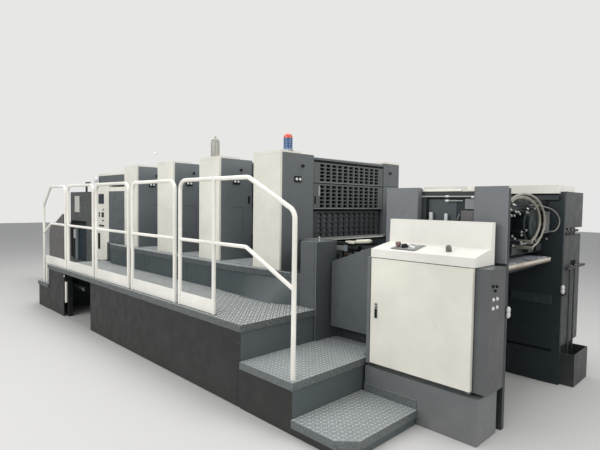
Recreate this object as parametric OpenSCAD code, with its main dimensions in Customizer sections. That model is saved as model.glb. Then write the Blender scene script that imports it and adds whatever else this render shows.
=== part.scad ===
// Four-colour sheet-fed offset printing press with its operator walkway.
// X runs along the press towards the delivery, Y runs into the press from the
// operator side, Z is up. Inside the modules X is zero at the delivery end of the
// walkway deck and Y is zero at its outer edge; placed() moves all to the centre.

/* [Walkway] */
// Length of the walkway deck along the press
deck_length = 4460; // [4440:5:4480]
// Height of the deck above the floor
deck_height = 632; // [560:4:700]
// Width of the deck from its outer edge to the machine bed
deck_width = 798; // [780:2:900]
// Thickness of the checker plate
plate_t = 6; // [4:1:8]
// Height of the folded nosing of deck and treads
nosing_h = 54; // [40:2:70]
// Distance that skirts and risers stand back from the nosing
skirt_inset = 12; // [8:1:16]
// Thickness of a folded skirt panel
skirt_t = 8; // [5:1:8]
// Length of the skirt panel beside the delivery stair
first_skirt = 1015; // [990:5:1025]
// Length of each further skirt panel
skirt_pitch = 955; // [950:5:975]
// Length of the last skirt panel, beside the open bay
last_skirt = 609; // [580:1:615]
// Joint gap between two skirt panels
skirt_gap = 4; // [2:1:8]
// Overlap of the upper tread's sheet past the end of the deck's
tread_lap = 28; // [20:2:50]
// Side of the square tubes of the walkway frame
frame_tube = 50; // [40:5:60]

/* [Stairs] */
// Height of the upper tread
upper_tread_z = 356; // [320:4:400]
// Front edge of the upper tread, from the end of the deck
upper_tread_x = 561; // [520:1:565]
// Inner edge of the upper tread
upper_tread_y = 1073; // [1000:1:1074]
// Height of the lower tread
lower_tread_z = 107; // [90:1:130]
// Front edge of the lower tread
lower_tread_x = 1040; // [980:5:1100]
// Inner edge of the lower tread, where it meets the console base
lower_tread_y = 757; // [740:1:757]
// Chamfer on the lower tread's outer corner
tread_chamfer = 112; // [80:2:140]
// Height of the upstand behind the lower tread
upstand_h = 63; // [50:1:70]
// Height of the step at the feeder end
feeder_tread_z = 356; // [320:4:400]
// Going of the step at the feeder end
feeder_going = 445; // [400:5:480]

/* [Guard rails] */
// Outer diameter of the rail tube
tube_d = 34; // [30:1:38]
// Outer diameter of the knee rail's tube
knee_d = 30; // [26:1:32]
// Height of the top rail's axis above the deck
rail_height = 1096; // [1000:4:1150]
// Height of the knee rail's axis above the deck
knee_height = 581; // [500:1:620]
// Distance of the rails from the deck's outer edge
rail_y = 46; // [46:1:48]
// Bend radius of the rail tube's axis
rail_bend = 85; // [70:5:100]
// Gap between the posts of neighbouring panels
post_gap = 92; // [80:2:100]
// Distance between the two posts of a straight panel
panel_w = 845; // [820:1:850]
// Distance of the last panel's inner post from the deck's end
last_post = 418; // [400:2:440]
// Spacing of the last panel's two upright posts
last_panel_w = 522; // [500:2:540]
// Height of the toe board
toe_h = 112; // [90:2:120]
// Depth to which the posts reach below the deck plate
post_drop = 56; // [50:2:70]
// Depth to which the post in the open bay reaches below the deck plate
long_post_drop = 440; // [300:10:460]
// Height of the sockets that hold the posts under the deck
socket_h = 158; // [140:2:180]

/* [Inner step] */
// Front face of the inner step
inner_step_y = 724; // [720:1:740]
// Feeder end of the inner step, from the delivery end of the deck
step_start = 4070; // [4000:10:4450]
// Height of the inner step
inner_step_z = 904; // [880:2:920]
// Distance that the step's foot runs out before the delivery
step_bulge = 64; // [40:2:70]
// Length of the curved stretch of the step's front
bulge_length = 1320; // [1200:20:1400]
// Distance from the foot's furthest point to the end of the step
bulge_end = 266; // [240:2:290]
// Angle at which the foot runs back to the delivery box
bulge_angle = 30; // [26:1:32]

/* [Printing units] */
// Distance from one unit to the next
unit_pitch = 982; // [970:1:1000]
// Width of a unit along the press
unit_w = 399; // [380:1:410]
// Left edge of the unit nearest the delivery
last_unit_x = 922; // [915:1:930]
// White face of the units
unit_face_y = 855; // [850:1:870]
// Top of the units
unit_top = 2044; // [1980:4:2100]
// Thickness of the white folded covers
cover_t = 20; // [12:1:25]
// Depth of the white cap on top of each unit
cap_depth = 270; // [200:5:320]
// Depth of the operator-side housing of a unit
side_depth = 447; // [430:1:450]
// Distance between the unit's side housings
inner_w = 1189; // [1180:1:1200]
// Depth of the drive-side housing of a unit
drive_depth = 316; // [300:2:340]
// Height of the gear and transfer housing between the units
transfer_top = 1180; // [1120:5:1200]

/* [Cylinder guards] */
// Thickness of a guard frame
guard_t = 24; // [20:1:28]
// Depth of the recess behind the guards
guard_recess = 60; // [50:1:70]
// Border of the guards beside the holes
guard_border = 92; // [80:1:100]
// Border of the guards above and below the holes
guard_edge = 16; // [12:1:18]
// Width of the upright bars between the holes
guard_bar_w = 26; // [20:1:30]
// Width of the level bars between the holes
guard_bar_h = 10; // [8:1:12]
// Bottom of the lower guard
lower_guard_z = 1488; // [1480:1:1490]
// Height of the lower guard
lower_guard_h = 256; // [248:1:257]
// Bottom of the upper guard
upper_guard_z = 1755; // [1752:1:1760]
// Height of the upper guard
upper_guard_h = 205; // [190:1:208]
// Running gap round each guard
guard_gap = 8; // [6:1:10]
// Radius of the hinge pins of the guards
guard_pin_r = 8; // [6:0.5:9]
// Columns of square holes in a guard
guard_cols = 11; // [8:1:12]

/* [Delivery] */
// End of the delivery's side frames
delivery_end_x = 1480; // [1474:1:1484]
// Outer face of the operator-side frame
frame_y0 = 1110; // [1108:1:1114]
// Thickness of the side frames
frame_t = 40; // [30:1:44]
// Inner face of the drive-side frame
drive_frame_y = 2300; // [2290:1:2310]
// Outer face of the drive-side covers
drive_y = 2830; // [2815:1:2840]
// Top of the delivery's covers
delivery_top = 1672; // [1660:1:1690]
// Height of the covers' lower edge above the floor
cover_bottom = 335; // [320:1:337]
// Front corner of the delivery box
box_y = 798; // [798:1:810]
// Top of the delivery box
box_top = 1212; // [1180:2:1230]
// Length of the delivery box along the press
box_len = 172; // [160:2:180]
// Plane of the large side panel
side_panel_y = 978; // [970:1:990]
// Lower edge of the large side panel
panel_foot = 468; // [455:1:480]
// Top corner of the large side panel beside the console
panel_top = 1236; // [1220:2:1245]
// Left side of the large operator-side cover
cover_x0 = 540; // [530:2:550]
// Right side of the large operator-side cover
cover_x1 = 822; // [810:1:830]
// Front plane of the large operator-side cover
cover_y = 1050; // [1046:1:1056]
// Lower edge of the large operator-side cover
cover_foot = 1240; // [1230:1:1250]
// Lower edge of the narrow cover at the delivery end
end_cover_foot = 1150; // [1140:1:1160]
// Left side of the window in the operator-side frame
window_x0 = 860; // [850:1:870]
// Lower edge of the window in the operator-side frame
window_z0 = 1180; // [1170:1:1190]
// Height of the window in the operator-side frame
window_h = 433; // [420:1:440]
// Level of the rails that carry the head
rail_level = 1600; // [1595:1:1606]
// Lower edge of the recess for the fan drum
drum_recess_z = 1290; // [1280:1:1300]
// Underside of the head
head_foot = 1150; // [1140:1:1160]

/* [Console] */
// Left side of the console
console_x0 = 582; // [580:1:590]
// Right side of the console body
console_x1 = 1428; // [1424:1:1432]
// Front plane of the console
console_y = 757; // [757:1:760]
// Back plane of the console
console_back_y = 1047; // [1040:1:1050]
// Lower edge of the console door
door_z0 = 341; // [340:1:346]
// Height of the console door
door_h = 799; // [780:1:800]
// Thickness of the console door
door_t = 30; // [24:1:30]
// Height of the console base
base_h = 305; // [290:1:310]
// Top edge of the console's back panel
desk_back_z = 1430; // [1400:2:1450]

/* [Pile board] */
// Top of the pile board at rest
board_top = 1105; // [1090:1:1110]
// Thickness of the wooden board
board_t = 36; // [30:1:40]
// Delivery end of the board
board_x1 = 1393; // [1380:1:1395]
// Length of the board along the press
board_len = 930; // [900:5:950]

/* [Feeder] */
// Far end of the feeder's pile guards
feeder_end_x = 7400; // [7200:20:7500]
// Front of the feeder body
feeder_x0 = 5190; // [5150:5:5200]
// Far side of the feeder body
feeder_x1 = 6190; // [6100:5:6250]
// Operator-side plane of the feeder
feeder_y = 900; // [890:1:905]
// Top of the feeder body
feeder_top = 1690; // [1650:5:1750]
// Right side of the control cabinet
cabinet_x0 = 4535; // [4530:1:4545]
// Width of the control cabinet
cabinet_w = 530; // [500:2:560]
// Top of the control cabinet
cabinet_top = 1778; // [1760:2:1780]
// Lower edge of the control cabinet
cabinet_bottom = 590; // [560:5:620]

/* [Hidden] */
$fn = 48;
eps = 1;
fit = 0.3;

white = "ivory";
gray = "slategray";
dark = "darkslategray";
black = "dimgray";

// Floor box at the foot of the drive-side column
floor_box_x = 1590;
floor_box_h = 279;
floor_box_y0 = drive_frame_y + frame_t;
floor_box_y1 = drive_y - 105;
bracket_out = 30;

x_mid = (floor_box_x - feeder_end_x) / 2;
y_mid = (drive_y + bracket_out) / 2;

module placed() {
    translate([-x_mid, -y_mid, 0])
        children();
}

// Box from its low corner to its high corner
module block(a, b) {
    translate(a)
        cube(b - a);
}

// Profile drawn in X-Z, extruded along Y from y0 to y1
module along_y(y0, y1) {
    translate([0, y1, 0])
        rotate([90, 0, 0])
            linear_extrude(y1 - y0)
                children();
}

// Profile drawn in Y-Z, extruded along X from x0 to x1
module along_x(x0, x1) {
    translate([x0, 0, 0])
        rotate([90, 0, 90])
            linear_extrude(x1 - x0)
                children();
}

function heading(a, b) = atan2(b[1] - a[1], b[0] - a[0]);
function turned(h0, h1) = h1 - h0 > 180 ? h1 - h0 - 360 : h1 - h0 < -180 ? h1 - h0 + 360 : h1 - h0;

// Tube bent in the X-Z plane through the corners of a path
module bent_tube(path, bend_r, d) {
    last = len(path) - 1;
    heads = [for (i = [0:last - 1]) heading(path[i], path[i + 1])];
    turns = [0, for (i = [1:last - 1]) turned(heads[i - 1], heads[i]), 0];
    trims = [for (t = turns) abs(t) > 0 ? bend_r * tan(abs(t) / 2) - eps : 0];
    rotate([90, 0, 0]) {
        for (i = [0:last - 1])
            translate([path[i][0], path[i][1], 0])
                rotate([0, 0, heads[i]])
                    translate([trims[i], 0, 0])
                        rotate([0, 90, 0])
                            cylinder(d = d - 0.2, h = norm(path[i + 1] - path[i]) - trims[i] - trims[i + 1]);
        for (i = [1:1:last - 1]) {
            side = turns[i] > 0 ? 1 : -1;
            start = heads[i - 1] - side * 90;
            translate([path[i][0], path[i][1], 0])
                rotate([0, 0, heads[i - 1]])
                    translate([-trims[i] - eps, side * bend_r, 0])
                        rotate([0, 0, side > 0 ? -90 : 90 - abs(turns[i])])
                            rotate_extrude(angle = abs(turns[i]))
                                translate([bend_r, 0])
                                    circle(d = d);
        }
    }
}

// Walkway

rail_top_z = deck_height + rail_height;
knee_z = deck_height + knee_height;
// Outer ends of each straight panel, from the delivery end
post_5l = -last_post - last_panel_w;
post_4r = post_5l - post_gap;
post_4l = post_4r - panel_w;
post_3r = post_4l - post_gap;
post_3l = post_3r - panel_w;
post_2r = post_3l - post_gap;
post_2l = post_2r - panel_w;
post_1r = post_2l - post_gap;
skirt_joints = [-first_skirt, -first_skirt - skirt_pitch, -first_skirt - 2 * skirt_pitch];
end_plate_x = -skirt_inset - skirt_t;
lap_x = end_plate_x - tread_lap;
bay_x0 = -deck_length + last_skirt;
leg_x = [-60, skirt_joints[0], skirt_joints[1], skirt_joints[2] + frame_tube / 2 + 15,
    bay_x0 + frame_tube / 2, -deck_length + 60];
deck_under = deck_height - plate_t;
bearer_y = rail_y + tube_d / 2 + 2 * fit;
bearer_y2 = deck_width - plate_t - frame_tube;
post_foot = deck_under - post_drop;
long_post_foot = deck_under - long_post_drop;
post_x = [-last_post, post_5l, post_4r, post_4l, post_3r, post_3l, post_2r, post_2l, post_1r];

// Socket under the deck that holds a rail post
module post_socket(x, h) {
    difference() {
        block([x - 28, skirt_inset + skirt_t + 2, deck_under - h], [x + 28, bearer_y + eps, deck_under]);
        translate([x, rail_y, deck_under - h - eps])
            cylinder(d = tube_d + 2 * fit, h = h + 2 * eps);
    }
}

module walkway_frame() {
    color(black) {
        for (y = [bearer_y, bearer_y2])
            block([-deck_length - end_plate_x, y, deck_under - frame_tube],
                [end_plate_x, y + frame_tube, deck_under]);
        for (x = leg_x)
            block([x - frame_tube / 2, bearer_y, 0], [x + frame_tube / 2, bearer_y + frame_tube, deck_under]);
        for (x = [leg_x[0], leg_x[5]]) {
            block([x - frame_tube / 2, bearer_y2, 0],
                [x + frame_tube / 2, bearer_y2 + frame_tube, deck_under]);
            block([x - frame_tube / 2, bearer_y, deck_under - frame_tube],
                [x + frame_tube / 2, bearer_y2 + frame_tube, deck_under]);
        }
        for (x = post_x)
            post_socket(x, x == post_1r ? socket_h : frame_tube);
    }
}

module walkway_deck() {
    color(gray)
        difference() {
            block([-deck_length, 0, deck_height - nosing_h], [0, deck_width, deck_height]);
            block([-deck_length + plate_t, plate_t, deck_height - nosing_h - eps],
                [-plate_t, deck_width - plate_t, deck_under]);
            for (x = post_x)
                translate([x, rail_y, deck_height - nosing_h])
                    cylinder(d = tube_d + 2, h = nosing_h + eps);
        }
}

module skirt_panel(x0, x1) {
    block([x0 + skirt_gap / 2, skirt_inset, 6],
        [x1 - skirt_gap / 2, skirt_inset + skirt_t, deck_under]);
}

module walkway_skirts() {
    color(gray) {
        difference() {
            skirt_panel(skirt_joints[0], end_plate_x);
            block([lap_x - skirt_gap / 2, 0, 0], [0, skirt_inset + skirt_t + eps, upper_tread_z - plate_t]);
        }
        block([lap_x + skirt_gap / 2, skirt_inset, 6],
            [end_plate_x + eps, skirt_inset + skirt_t, upper_tread_z - plate_t - skirt_gap]);
        skirt_panel(skirt_joints[1], skirt_joints[0]);
        skirt_panel(skirt_joints[2], skirt_joints[1]);
        skirt_panel(-deck_length + skirt_inset + skirt_t, bay_x0 + skirt_gap / 2);
        block([end_plate_x, skirt_inset, 6], [-skirt_inset, deck_width - plate_t, deck_under]);
        block([-deck_length + skirt_inset, skirt_inset, 6],
            [-deck_length + skirt_inset + skirt_t, deck_width - plate_t, deck_under]);
        step_wall(upper_tread_z - plate_t) {
            upper_outline(skirt_inset);
            upper_outline(skirt_inset + skirt_t);
        }
        step_wall(lower_tread_z - plate_t) {
            lower_outline(skirt_inset);
            lower_outline(skirt_inset + skirt_t);
        }
        difference() {
            block([feeder_step_x + skirt_inset, skirt_inset, 0],
                [-deck_length + skirt_inset, deck_width - skirt_inset, feeder_tread_z - plate_t]);
            block([feeder_step_x + skirt_inset + skirt_t, skirt_inset + skirt_t, -eps],
                [-deck_length + skirt_inset + eps, deck_width - skirt_inset - skirt_t, feeder_tread_z]);
        }
    }
}

// Outline of the upper tread, drawn in by an inset
module upper_outline(inset) {
    round_y = lower_tread_y + 23;
    round_r = 60;
    back_x = upper_tread_x - round_r;
    x0 = -skirt_inset;
    translate([x0, inset])
        square([upper_tread_x - inset - x0, round_y - inset]);
    translate([x0, inset])
        square([back_x - x0, round_y + round_r - 2 * inset]);
    translate([x0, inset])
        square([back_x - inset - x0, upper_tread_y - 2 * inset]);
    translate([back_x, round_y])
        circle(r = round_r - inset);
}

// Outline of the lower tread, drawn in by an inset
module lower_outline(inset) {
    x0 = upper_tread_x - skirt_inset;
    cut = tread_chamfer + inset * (sqrt(2) - 1);
    polygon([[x0, inset], [lower_tread_x - cut, inset],
        [lower_tread_x - inset, cut], [lower_tread_x - inset, lower_tread_y - inset],
        [x0, lower_tread_y - inset]]);
}

module tray(top) {
    translate([0, 0, top - nosing_h])
        difference() {
            linear_extrude(nosing_h)
                children(0);
            translate([0, 0, -eps])
                linear_extrude(nosing_h - plate_t + eps)
                    children(1);
        }
}

module step_wall(top) {
    difference() {
        linear_extrude(top)
            children(0);
        translate([0, 0, -eps])
            linear_extrude(top + 2 * eps)
                children(1);
    }
}

module upper_tread() {
    color(gray)
        tray(upper_tread_z) {
            upper_outline(0);
            upper_outline(plate_t);
        }
}

module lower_tread() {
    color(gray) {
        tray(lower_tread_z) {
            lower_outline(0);
            lower_outline(plate_t);
        }
        block([upper_tread_x + 14, lower_tread_y - plate_t, lower_tread_z - plate_t],
            [lower_tread_x - 8, lower_tread_y, lower_tread_z + upstand_h]);
    }
}

feeder_step_x = -deck_length - feeder_going;

module feeder_tread() {
    color(gray)
        difference() {
            block([feeder_step_x, 0, feeder_tread_z - nosing_h],
                [-deck_length + skirt_inset, deck_width, feeder_tread_z]);
            block([feeder_step_x + plate_t, plate_t, feeder_tread_z - nosing_h - eps],
                [-deck_length + skirt_inset + eps, deck_width - plate_t, feeder_tread_z - plate_t]);
        }
}

// Guard rails

module toe_board(x0, x1) {
    block([x0, rail_y - 3, deck_height + 6], [x1, rail_y + 3, deck_height + 6 + toe_h]);
}

module straight_panel(x0, x1) {
    color(white) {
        translate([0, rail_y, 0]) {
            bent_tube([[x0, post_foot], [x0, rail_top_z], [x1, rail_top_z], [x1, post_foot]],
                rail_bend, tube_d);
            bent_tube([[x0, knee_z], [x1, knee_z]], rail_bend, knee_d);
        }
        toe_board(x0, x1);
    }
}

module guard_rail_1() {
    slope_x = -deck_length + 20;
    foot_x = -deck_length - 290;
    toe_x = -deck_length - 175;
    color(white) {
        translate([0, rail_y, 0]) {
            translate([toe_x, 0, feeder_tread_z])
                cylinder(d = knee_d, h = deck_height + toe_h - feeder_tread_z);
            bent_tube([[foot_x, feeder_tread_z], [foot_x, rail_top_z - 260], [slope_x, rail_top_z],
                [post_1r, rail_top_z], [post_1r, long_post_foot]], rail_bend, tube_d);
            bent_tube([[foot_x, knee_z - 150], [slope_x, knee_z], [post_1r, knee_z]],
                rail_bend, knee_d);
        }
        toe_board(toe_x, post_1r);
    }
}

module guard_rail_2() {
    straight_panel(post_2l, post_2r);
}

module guard_rail_3() {
    straight_panel(post_3l, post_3r);
}

module guard_rail_4() {
    straight_panel(post_4l, post_4r);
}

module guard_rail_5() {
    slope_x = 20;
    foot_x = upper_tread_x - 44;
    color(white) {
        translate([0, rail_y, 0]) {
            bent_tube([[post_5l, post_foot], [post_5l, rail_top_z], [slope_x, rail_top_z],
                [foot_x, rail_top_z - 240], [foot_x, upper_tread_z]], rail_bend, tube_d);
            bent_tube([[post_5l, knee_z], [slope_x - 22, knee_z], [foot_x, knee_z - 248]],
                rail_bend, knee_d);
            translate([-last_post, 0, post_foot])
                cylinder(d = tube_d - 1, h = rail_top_z - post_foot);
        }
        toe_board(post_5l, -last_post);
    }
}

// Inner step and bed

bed_x0 = -feeder_x0;
bed_x1 = -skirt_inset - box_len;
step_x0 = -step_start;
step_x1 = bed_x1;
bed_y0 = unit_face_y + cover_t;
cabinet_y1 = feeder_y + 360;

step_front = inner_step_y + skirt_inset;
lean_x = step_x1 - bulge_length;
knee_x = step_x1 - bulge_end;
step_cols = 20;
step_xs = [for (i = [0:step_cols]) lean_x + (step_x1 - lean_x) * i / step_cols];

// Front line of the step at its foot, and of its nosing
function eased(t) = t * t * (3 - 2 * t);
function foot_y(x) = x < knee_x ? step_front - step_bulge * eased((x - lean_x) / (knee_x - lean_x))
    : step_front - step_bulge + (x - knee_x) * tan(bulge_angle);
function nose_y(x) = inner_step_y + max(0, x - lean_x - 350) * 0.14;

// Front of the step, ruled between the foot's line and the nosing's
module ruled_front(riser_z) {
    points = [for (x = step_xs) for (k = [0:3])
        [x, k == 0 ? foot_y(x) : k == 1 ? nose_y(x) + skirt_inset : bed_y0,
            k % 3 == 0 ? deck_height : riser_z]];
    sides = [for (i = [0:step_cols - 1]) for (k = [0:3])
        [4 * i + k, 4 * i + (k + 1) % 4, 4 * i + 4 + (k + 1) % 4]];
    more = [for (i = [0:step_cols - 1]) for (k = [0:3])
        [4 * i + k, 4 * i + 4 + (k + 1) % 4, 4 * i + 4 + k]];
    last = 4 * step_cols;
    polyhedron(points, concat(sides, more, [[3, 2, 1, 0], [last, last + 1, last + 2, last + 3]]));
}

module inner_step() {
    riser_z = inner_step_z - nosing_h;
    color(gray) {
        block([step_x0, step_front, deck_height], [lean_x, bed_y0, riser_z + eps]);
        ruled_front(riser_z + eps);
        translate([0, 0, riser_z])
            linear_extrude(nosing_h)
                polygon(concat([[step_x0, inner_step_y]], [for (x = step_xs) [x, nose_y(x)]],
                    [[step_x1, bed_y0], [step_x0, bed_y0]]));
    }
}

module press_bed() {
    color(dark) {
        along_x(-cabinet_x0, bed_x1)
            polygon([[deck_width, 0], [drive_y - 40, 0], [drive_y - 40, inner_step_z],
                [bed_y0, inner_step_z], [bed_y0, deck_height], [deck_width, deck_height]]);
        block([bed_x0, cabinet_y1, 0], [-cabinet_x0 + eps, drive_y - 40, inner_step_z]);
        block([bay_x0 + 60, 400, 235], [skirt_joints[2] + 10, 450, 316]);
        for (x = [bay_x0 + 160, skirt_joints[2] - 100])
            block([x, 450 - eps, 250], [x + 50, deck_width + eps, 300]);
        for (n = [1:3])
            block([unit_x(n) + unit_w, unit_inner_y0, inner_step_z - eps],
                [unit_x(n + 1), unit_inner_y1, transfer_top]);
    }
}

// Printing units

unit_inner_y0 = unit_face_y + side_depth;
unit_inner_y1 = unit_inner_y0 + inner_w;
unit_end_y = unit_inner_y1 + drive_depth;
body_top = unit_top - cover_t;
guard_y0 = unit_inner_y0 + guard_gap;
guard_y1 = unit_inner_y1 - guard_gap;
upper_axis_z = upper_guard_z + upper_guard_h - guard_t / 2;
lower_axis_z = lower_guard_z + guard_t / 2;
guard_axis_x = unit_w - 4 - guard_t / 2;
pin_len = 26;

function unit_x(n) = -last_unit_x - (4 - n) * unit_pitch;

module guard_bore(z) {
    translate([guard_axis_x, unit_inner_y0 - pin_len + guard_gap - 2, z])
        rotate([-90, 0, 0])
            cylinder(r = guard_pin_r + fit, h = inner_w + 2 * pin_len - 2 * guard_gap + 4);
}

module unit_body(n) {
    translate([unit_x(n), 0, 0])
        color(gray)
            difference() {
                union() {
                    block([0, unit_face_y + cover_t, inner_step_z], [unit_w, unit_inner_y0, body_top]);
                    block([20, unit_inner_y0 - eps, inner_step_z],
                        [unit_w - guard_recess, unit_inner_y1 + eps, body_top - 20]);
                    block([0, unit_inner_y0 - eps, inner_step_z],
                        [unit_w, unit_inner_y1 + eps, transfer_top]);
                    block([0, unit_inner_y1, inner_step_z], [unit_w, unit_end_y, body_top]);
                    block([unit_w - guard_recess - eps, unit_inner_y0 - eps, body_top - 40],
                        [unit_w - 4, unit_inner_y1 + eps, body_top - 20]);
                }
                if (n == 4) {
                    guard_bore(upper_axis_z);
                    guard_bore(lower_axis_z);
                }
            }
}

module unit_body_1() {
    unit_body(1);
}

module unit_body_2() {
    unit_body(2);
}

module unit_body_3() {
    unit_body(3);
}

module unit_body_4() {
    unit_body(4);
}

module unit_covers() {
    color(white)
        for (n = [1:4])
            translate([unit_x(n), 0, 0]) {
                along_x(0, unit_w)
                    polygon([[unit_face_y, inner_step_z + 2], [unit_face_y, unit_top],
                        [unit_face_y + cap_depth, unit_top], [unit_face_y + cap_depth, body_top],
                        [unit_face_y + cover_t, body_top], [unit_face_y + cover_t, inner_step_z + 2]]);
                block([0, unit_inner_y1, body_top], [unit_w, unit_end_y, unit_top]);
            }
    color(white)
        block([infeed_x0, infeed_y, infeed_top], [unit_x(1), drive_y - 340, infeed_top + 36]);
}

// Square-hole grille of a guard, in the Y-Z plane, from the origin
module grille(w, h, rows) {
    pitch_w = (w - 2 * guard_border + guard_bar_w) / guard_cols;
    pitch_h = (h - 2 * guard_edge + guard_bar_h) / rows;
    difference() {
        square([w, h]);
        for (c = [0:guard_cols - 1], r = [0:rows - 1])
            translate([guard_border + c * pitch_w, guard_edge + r * pitch_h])
                square([pitch_w - guard_bar_w, pitch_h - guard_bar_h]);
    }
}

module guard_leaf(x, z, h, rows) {
    translate([0, guard_y0, z])
        along_x(x, x + guard_t)
            grille(guard_y1 - guard_y0, h, rows);
}

module guard_pins(z) {
    for (y = [guard_y0 - pin_len, guard_y1])
        translate([guard_axis_x, y, z])
            rotate([-90, 0, 0])
                cylinder(r = guard_pin_r, h = pin_len);
}

module upper_guard() {
    translate([unit_x(4), 0, 0])
        color(gray) {
            guard_leaf(guard_axis_x - guard_t / 2, upper_guard_z, upper_guard_h, 5);
            guard_pins(upper_axis_z);
        }
}

module lower_guard() {
    translate([unit_x(4), 0, 0])
        color(gray) {
            guard_leaf(guard_axis_x - guard_t / 2, lower_guard_z, lower_guard_h, 6);
            guard_pins(lower_axis_z);
        }
}

module inner_guards() {
    color(gray) {
        for (n = [1:3])
            translate([unit_x(n), 0, 0]) {
                guard_leaf(unit_w - guard_recess, upper_guard_z, upper_guard_h, 5);
                guard_leaf(unit_w - guard_recess, lower_guard_z, lower_guard_h, 6);
            }
        translate([unit_x(4), 0, 0])
            guard_leaf(unit_w - guard_recess, transfer_top, lower_guard_z - 26 - transfer_top, 5);
    }
}

module signal_lamps() {
    translate([unit_x(4) + unit_w - 42, unit_face_y + 130, unit_top])
        color("firebrick") {
            cylinder(r = 50, h = 12);
            cylinder(r = 45, h = 122);
            translate([0, 0, 122])
                sphere(r = 44);
        }
    translate([unit_x(3) + unit_w - 195, unit_face_y + 75, unit_top])
        color("lightgray") {
            cylinder(r = 50, h = 214);
            cylinder(r = 12, h = 236);
        }
    translate([unit_x(1) + 83, unit_inner_y0 - 12, body_top])
        color("lightgray") {
            cylinder(r = 8, h = 230);
            translate([0, 0, 230])
                sphere(r = 22);
        }
}

// Delivery

unit_front_x = unit_x(4) + unit_w;
box_x1 = -skirt_inset;
box_x2 = 7;
box_y1 = frame_y0 - 45;
frame_y1 = frame_y0 + frame_t;
mid_y = (frame_y1 + drive_frame_y) / 2;
well_x0 = board_x1 - board_len - 63;
post_x0 = delivery_end_x - 46;
drive_top = delivery_top - 17;
top_cover_h = 73;
hoist_gap_z = 1296;
head_x0 = delivery_end_x - 480;
head_x1 = delivery_end_x - 140;
panel_x1 = console_x0 - 4;

module chain_housing() {
    color(dark)
        along_y(frame_y1, drive_frame_y)
            polygon([[unit_front_x, inner_step_z], [bed_x1, inner_step_z], [bed_x1, 0],
                [well_x0, 0], [well_x0, head_foot], [well_x0 + 120, head_foot + 40],
                [head_x0 - 40, rail_level - 60], [head_x0 - 40, rail_level],
                [head_x0 - 140, rail_level], [well_x0 + 80, drum_recess_z],
                [-100, transfer_top], [unit_front_x, transfer_top]]);
}

module delivery_box() {
    color(gray) {
        block([box_x1 - box_len, box_y, 0], [box_x1, box_y1, box_top]);
        block([box_x1 - eps, box_y, upper_tread_z + 4], [box_x2, box_y1, box_top]);
    }
}

module delivery_side_panel() {
    color(gray)
        along_y(side_panel_y, side_panel_y + 62)
            polygon([[box_x2 + 23, panel_foot], [panel_x1, panel_foot], [panel_x1, panel_top],
                [box_x2 + 23, panel_top - 201]]);
}

frame_top = delivery_top - 30;
end_cover_x0 = delivery_end_x - 232;

module operator_frame() {
    color(dark) {
        along_y(frame_y0, frame_y1)
            difference() {
                polygon([[bed_x1, 0], [delivery_end_x, 0], [delivery_end_x, delivery_top - 10],
                    [cover_x0 - 10, delivery_top - 10], [cover_x0 - 10, cover_foot - 40],
                    [bed_x1, box_top - 52]]);
                translate([window_x0, window_z0])
                    square([delivery_end_x - 210 - window_x0, window_h]);
                translate([cover_x1 + fit, frame_top])
                    square([end_cover_x0 - cover_x1 - 2 * fit, 60]);
            }
        block([box_x1, upper_tread_y, 0], [console_x0 - 6, frame_y0 + eps, panel_foot]);
        block([box_x2, side_panel_y + 62, 600], [console_x0 - 6, frame_y0 + eps, 1000]);
        block([box_x1 - box_len, box_y1, 0], [box_x1, frame_y0 + eps, box_top - 52]);
        block([box_x1, box_y1, upper_tread_z + 4], [box_x2 + 60, frame_y0 + eps, box_top - 52]);
    }
}

module operator_covers() {
    color(gray) {
        block([cover_x0, cover_y, cover_foot], [cover_x1, frame_y0, delivery_top]);
        block([end_cover_x0, frame_y0 - 14, end_cover_foot], [delivery_end_x, frame_y0, delivery_top + 4]);
    }
}

module drive_frame() {
    color(dark) {
        block([box_x1, drive_frame_y, 0], [delivery_end_x, drive_frame_y + frame_t, drive_top]);
        block([delivery_end_x - 415, drive_frame_y - 10, 20],
            [delivery_end_x - 56, drive_frame_y + eps, 280]);
    }
}

// Covers of the drive side, with the gap of the hoist gear at their delivery end
module drive_cover() {
    color(gray) {
        along_y(drive_frame_y + frame_t, drive_y - 40)
            polygon([[bed_x1, cover_bottom], [delivery_end_x, cover_bottom], [delivery_end_x, hoist_gap_z],
                [bed_x1, hoist_gap_z]]);
        along_y(drive_frame_y + frame_t, drive_y)
            polygon([[bed_x1, hoist_gap_z - eps], [delivery_end_x - 60, hoist_gap_z - eps],
                [delivery_end_x - 60, hoist_gap_z + 62], [delivery_end_x, hoist_gap_z + 62],
                [delivery_end_x, delivery_top], [post_x0, delivery_top], [post_x0, drive_top],
                [bed_x1, drive_top]]);
    }
}

module drive_top_cover() {
    color(white)
        block([160, drive_frame_y - 50, drive_top], [post_x0 - fit, drive_y - 102, drive_top + top_cover_h]);
}

module delivery_rails() {
    color(black)
        for (y = [frame_y1, drive_frame_y - 40])
            block([head_x0 - 40, y, rail_level], [delivery_end_x - 40, y + 40, rail_level + 40]);
}

// Sheet-carrying head between the side frames, with the fan drum on its front
module delivery_head() {
    drum_r = 150;
    hood_z = rail_level - 100;
    color(black) {
        block([head_x0, frame_y1, drum_recess_z - eps], [head_x0 + 180, drive_frame_y, rail_level]);
        block([head_x0, frame_y1, hood_z], [head_x1, drive_frame_y, rail_level]);
        block([head_x0, frame_y1, head_foot], [head_x1 - 40, drive_frame_y, drum_recess_z]);
        block([head_x0, drive_frame_y - 20, drum_recess_z + 10],
            [head_x1 + 39, drive_frame_y, hood_z + eps]);
        translate([head_x0 + 180 - eps, mid_y + 165, drum_recess_z + 100])
            rotate([0, 90, 0]) {
                cylinder(r = drum_r, h = 170);
                cylinder(r = drum_r - 30, h = 200);
                cylinder(r = 40, h = 205);
            }
    }
}

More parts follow.
